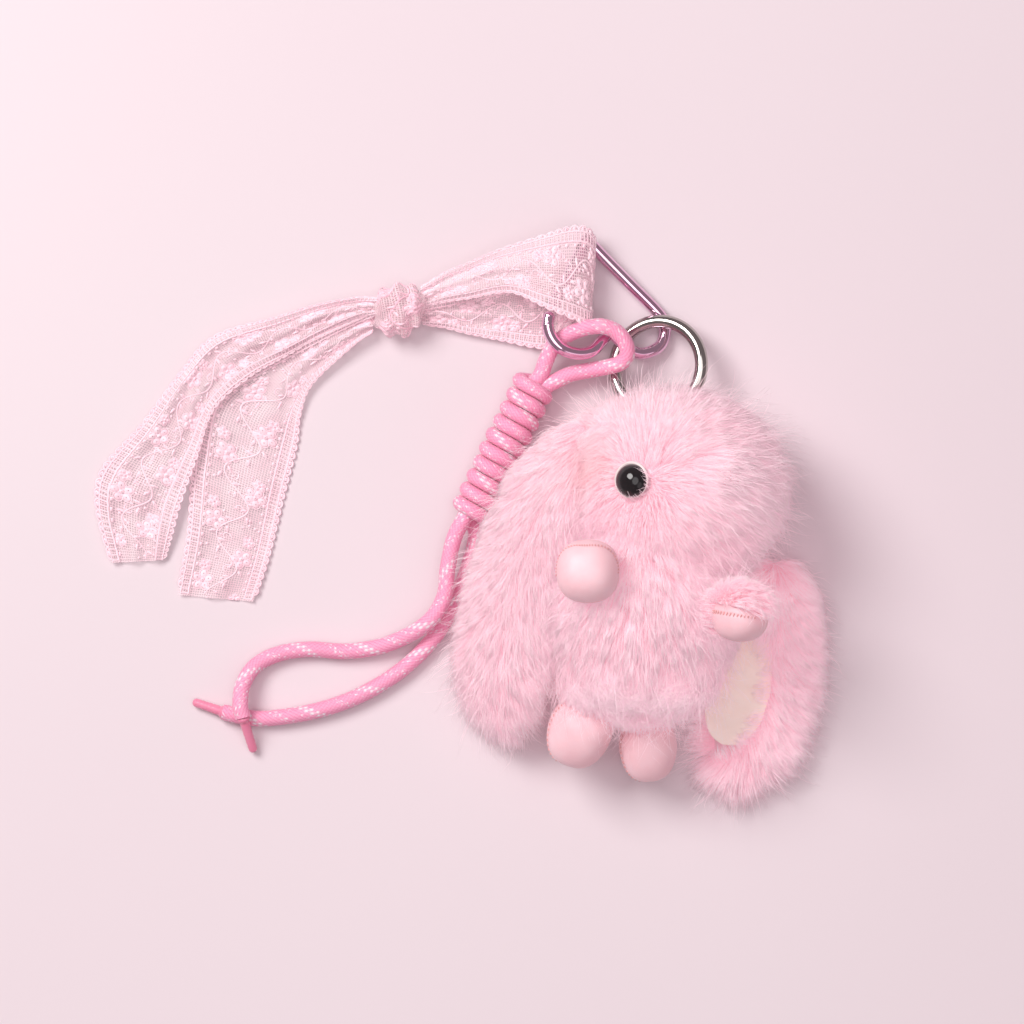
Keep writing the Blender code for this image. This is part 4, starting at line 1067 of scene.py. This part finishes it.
LACE_UPPER = [
    ((-70.0, 72.6, 6.2), (-70.2, 68.6, 6.0)), ((-76.0, 72.8, 5.0), (-76.6, 67.2, 4.8)),
    ((-86.0, 71.0, 3.8), (-85.2, 63.0, 3.6)), ((-97.0, 67.6, 3.2), (-94.0, 58.0, 3.4)),
    ((-113.5, 62.4, 2.8), (-104.6, 52.0, 3.6)), ((-122.6, 53.0, 2.8), (-114.0, 43.4, 3.4)),
    ((-133.3, 38.6, 2.4), (-118.6, 31.0, 3.2)), ((-143.4, 27.0, 1.8), (-123.4, 18.0, 2.8)),
    ((-145.2, 17.0, 1.4), (-125.6, 10.0, 2.4)), ((-141.4, 1.8, 1.2), (-127.6, 2.6, 1.8)),
]
LACE_LOWER = [
    ((-70.4, 68.8, 4.6), (-71.4, 63.6, 4.2)), ((-77.0, 66.4, 3.4), (-76.6, 60.0, 3.0)),
    ((-92.0, 59.5, 2.0), (-87.4, 50.2, 1.6)), ((-105.0, 53.0, 1.6), (-91.0, 42.0, 1.2)),
    ((-115.4, 46.4, 1.4), (-92.4, 33.4, 1.0)), ((-119.0, 30.0, 1.2), (-95.8, 20.0, 1.0)),
    ((-120.6, 10.0, 1.0), (-99.6, 4.0, 0.9)), ((-123.6, -6.8, 0.8), (-103.6, -8.6, 0.8)),
]
KNOT_CENTRE, KNOT_RADII = np.array([-64.5, 69.6, 5.8]), np.array([7.2, 6.6, 5.4])
LACE_WHITE, LACE_ROSE = np.array([0.97, 0.74, 0.81]), np.array([0.93, 0.58, 0.68])
PETALS, LEAF = 5, 1.05


def rail(points, count):
    """Points at even steps of a smooth curve's own parameter, so that two rails stay in step."""
    ends = with_ends(points)
    at = np.linspace(0, len(points) - 1 - 1e-6, count)
    k, t = at.astype(int), (at % 1.0)[:, None]
    return between(ends[k], ends[k + 1], ends[k + 2], ends[k + 3], t)


class Cloth:
    """A sheet as a grid of points, with a map from flat millimetres to the shape in space."""

    def __init__(self, grid, flat_width):
        self.grid = grid
        self.along = gone_along(grid[:, grid.shape[1] // 2])
        self.length, self.width = self.along[-1], flat_width
        du, dv = np.gradient(grid, axis=0), np.gradient(grid, axis=1)
        self.normals = unit(np.cross(du, dv))
        self.normals *= np.sign(self.normals[..., 2].mean() + 1e-9)

    def at(self, flat):
        """Places in space of (along, across, height) rows."""
        rows, columns = self.grid.shape[:2]
        i = np.clip(np.interp(flat[:, 0], self.along, np.arange(rows)), 0, rows - 1.001)
        share = np.clip(flat[:, 1] / self.width, 0, 1)
        j, spill = share * (columns - 1.001), flat[:, 1] / self.width - share
        i0, j0 = i.astype(int), j.astype(int)
        fi, fj = (i - i0)[:, None], (j - j0)[:, None]

        def mix(values):
            return ((values[i0, j0] * (1 - fj) + values[i0, j0 + 1] * fj) * (1 - fi)
                    + (values[i0 + 1, j0] * (1 - fj) + values[i0 + 1, j0 + 1] * fj) * fi)

        across = self.grid[i0, -1] - self.grid[i0, 0]
        place_at = mix(self.grid) + mix(self.normals) * flat[:, 2:3] + across * spill[:, None]
        place_at[:, 2] = np.maximum(place_at[:, 2], 0.12)
        return place_at

    def mesh(self, name):
        rows, columns = self.grid.shape[:2]
        u, v = np.meshgrid(self.along, np.linspace(0, self.width, columns), indexing="ij")
        points = self.grid.reshape(-1, 3).copy()
        points[:, 2] = np.maximum(points[:, 2], 0.10)
        return mesh_object(name, points, grid_quads(rows, columns, closed=False), TULLE,
                           uv=np.stack([u, v], -1).reshape(-1, 2))


class Stitches:
    """Embroidery gathered in flat millimetres: threads and satin pads, each with its colour."""

    def __init__(self, rng, pale=(0.45, 1.0)):
        self.points, self.quads, self.tints, self.count, self.rng, self.pale = [], [], [], 0, rng, pale

    def add(self, points, quads, tint):
        self.points.append(points)
        self.quads.append(quads + self.count)
        self.tints.append(np.broadcast_to(tint, points.shape))
        self.count += len(points)

    def shade(self):
        return LACE_ROSE + (LACE_WHITE - LACE_ROSE) * self.rng.uniform(*self.pale)

    def thread(self, route, radius=0.2, around=6):
        path = np.column_stack([route, np.full(len(route), 0.05)])
        points, quads = tube_points(path, radius, around)
        self.add(points, quads, self.shade())

    def pad(self, centre, long, wide, angle, thick=0.34, point=1.0):
        """A raised satin-stitch pad: an oval, pointed at one end when point is under 1."""
        rise = np.linspace(-math.pi / 2 + 0.15, math.pi / 2 - 0.15, 5)
        turn = np.linspace(0, 2 * math.pi, 12, endpoint=False)
        r, a = np.meshgrid(np.cos(rise), turn, indexing="ij")
        x = r * np.cos(a) * long
        y = r * np.sin(a) * wide * (1 - (1 - point) * np.clip(np.cos(a), 0, 1))
        z = np.repeat(np.sin(rise)[:, None], 12, 1) * thick
        c, s = math.cos(angle), math.sin(angle)
        points = np.stack([centre[0] + x * c - y * s, centre[1] + x * s + y * c, z], -1).reshape(-1, 3)
        self.add(points, grid_quads(5, 12), self.shade())

    def flower(self, centre, reach, turn):
        for k in range(PETALS):
            a = turn + 2 * math.pi * k / PETALS
            at = np.array(centre) + np.array([math.cos(a), math.sin(a)]) * reach * 0.60
            self.pad(at, reach * 0.40, reach * 0.34, a)
            ring = np.linspace(0, 2 * math.pi, 13)
            edge = np.stack([np.cos(ring) * reach * 0.47, np.sin(ring) * reach * 0.40], -1)
            spin = np.array([[math.cos(a), math.sin(a)], [-math.sin(a), math.cos(a)]])
            self.thread(edge @ spin + at, 0.13)
        self.pad(centre, reach * 0.24, reach * 0.24, 0, 0.55)

    def build(self, name, cloth):
        points = cloth.at(np.vstack(self.points))
        return mesh_object(name, points, np.vstack(self.quads), LACE_THREAD, tint=np.vstack(self.tints))


def ladder_border(work, cloth, edge, inward):
    """Two threads with rungs between them, scallops outside and a row of eyelets."""
    u = np.arange(0.0, cloth.length, 0.5)
    for offset in (0.5, 2.5):
        wave = 0.06 * np.sin(u * 3.1 + offset)
        work.thread(np.column_stack([u, edge + inward * (offset + wave)]), 0.24)
    for at in np.arange(0.4, cloth.length, 1.15):
        rung = [[at + bend, edge + inward * across] for bend, across in ((0, 0.5), (0.05, 1.5), (0, 2.5))]
        work.thread(np.array(rung), 0.17)
    for at in np.arange(1.2, cloth.length - 1, 2.5):
        a = np.linspace(0, math.pi, 9)
        work.thread(np.column_stack([at - 1.25 * np.cos(a), edge - inward * (0.95 * np.sin(a) - 0.35)]), 0.22)
        work.pad((at, edge - inward * 0.05), 0.62, 0.42, 0, 0.3)
        work.pad((at, edge + inward * 3.3), 0.55, 0.42, 0, 0.3)


def vine(work, cloth, phase=0.0, period=17.0):
    """A winding stem with leaves, large flowers in its bends and small blossoms between."""
    middle, swing = cloth.width / 2, cloth.width * 0.17
    u = np.arange(0.5, cloth.length - 0.5, 0.6)
    work.thread(np.column_stack([u, middle + swing * np.sin(2 * math.pi * u / period + phase)]), 0.2)
    for k, at in enumerate(np.arange(2.0, cloth.length - 1.5, 1.9)):
        slope = 2 * math.pi / period * swing * math.cos(2 * math.pi * at / period + phase)
        side = 1 if k % 2 else -1
        stem = middle + swing * math.sin(2 * math.pi * at / period + phase)
        angle = math.atan(slope) + side * 0.9
        work.pad((at + 0.8 * math.cos(angle), stem + side * 1.15), LEAF, LEAF * 0.42, angle, point=0.4)
    for k, at in enumerate(np.arange(3.0, cloth.length - 2.0, period / 2)):
        side = 1 if k % 2 else -1
        jitter = work.rng.uniform(-0.6, 0.6, 2)
        large = (at + jitter[0], middle + side * cloth.width * 0.20 + jitter[1])
        small = (at + period / 4 + jitter[1], middle - side * cloth.width * 0.24)
        work.flower(large, 2.7, work.rng.uniform(0, 6))
        work.flower(small, 1.5, work.rng.uniform(0, 6))
        curl = np.linspace(0, 4.2, 14)
        work.thread(np.column_stack([at + 4.3 + (1.6 - curl * 0.33) * np.cos(curl + k),
                                     middle + side * 1.0 + (1.6 - curl * 0.33) * np.sin(curl + k)]), 0.16)
    for _ in range(int(cloth.length * cloth.width / 26)):
        at = work.rng.uniform((1, 4.2), (cloth.length - 1, cloth.width - 4.2))
        work.pad(at, 0.42, 0.36, work.rng.uniform(0, 3), 0.26)


def pleated(stations, folds, tight, loose, rows=260, columns=49, ripple=0.35, lowest=0.4, phase=0.0):
    """A sheet between two rails, with folds along it that are deep where it is gathered."""
    one, other = (rail([s[k] for s in stations], rows) for k in (0, 1))
    v = np.linspace(0, 1, columns)[None, :, None]
    grid = one[:, None] * (1 - v) + other[:, None] * v
    width = np.linalg.norm(one - other, axis=1)[:, None]
    gather = np.clip((width.max() - width) / (width.max() - width.min()), 0, 1) ** 1.5
    deep = loose + (tight - loose) * gather
    u = np.linspace(0, 1, rows)[:, None]
    v = v[..., 0]
    grid[..., 2] += deep * np.sin(2 * math.pi * folds * v + phase + 1.5 * np.sin(u * 7))
    grid[..., 2] += ripple * np.sin(u * 31 + v * 5 + phase) * np.sin(v * 3.1)
    grid[..., 2] = np.maximum(grid[..., 2], lowest)
    return grid


def knot_grid():
    """The ribbon wound round itself: ridges run round the knot, which bulges between its gathers."""
    turn = np.linspace(0, 2 * math.pi, 121)[:, None]
    across = np.linspace(0, 1, 61)[None]
    lat = (across - 0.5) * math.pi * 0.86
    ridge = 1 + 0.12 * np.sin(across * 26 + 1.4 * np.sin(turn)) + 0.07 * np.sin(turn * 5 + across * 9)
    twist = 0.9 * np.sin(turn + 0.6)
    x = KNOT_RADII[0] * np.sin(lat) + twist
    y = KNOT_RADII[1] * np.cos(lat) * ridge * np.cos(turn) + 0 * x
    z = KNOT_RADII[2] * np.cos(lat) * ridge * np.sin(turn) + 0 * x
    grid = np.stack([x, y, z], -1)
    lean = math.radians(14)
    turned = np.stack([grid[..., 0] * math.cos(lean) - grid[..., 1] * math.sin(lean),
                       grid[..., 0] * math.sin(lean) + grid[..., 1] * math.cos(lean), grid[..., 2]], -1)
    grid = turned + KNOT_CENTRE
    grid[..., 2] = np.maximum(grid[..., 2], 0.3)
    return grid


def make_sheet(name, grid, flat_width, nodes, seed, phase=0.0, borders=True, pale=(0.45, 1.0)):
    cloth = Cloth(grid, flat_width)
    ground = cloth.mesh(name + "_net")
    work = Stitches(np.random.default_rng(seed), pale)
    if borders:
        ladder_border(work, cloth, 0.0, 1)
        ladder_border(work, cloth, flat_width, -1)
    vine(work, cloth, phase)
    threads = work.build(name + "_embroidery", cloth)
    place(ground, "lace", "lace", *nodes)
    place(threads, "lace", "lace")


def make_lace():
    make_sheet("lace_loop", pleated(LACE_LOOP, 2.5, 0.7, 0.35, rows=420), 18.0,
               ("lace_loop_front", "lace_loop_back"), 31)
    make_sheet("lace_upper_tail", pleated(LACE_UPPER, 2.5, 0.9, 0.55, lowest=1.0), 17.0,
               ("lace_tail_upper",), 32, 1.0)
    make_sheet("lace_lower_tail", pleated(LACE_LOWER, 2.0, 0.8, 0.40, phase=0.5), 20.0,
               ("lace_tail_lower",), 33, 2.2)
    make_sheet("lace_wound_knot", knot_grid(), 15.0, ("lace_knot",), 34, borders=False,
               pale=(-0.3, 0.6))


make_camera()
make_floor()
make_lights()
make_cords()
make_key_ring()
make_heart()
finish_hidden_nodes()
make_body_fur()
make_left_ear_fur()
make_right_ear_fur()
make_limb_fur()
make_cap_fur()
make_caps()
make_lining("ear_left_suede", "ear_left", LINING_LEFT, EAR_LEFT_NORMAL, "ear_left_lining")
make_lining("ear_right_suede", "ear_right", LINING_RIGHT, UP, "ear_right_lining")
make_eyes()
make_lace()
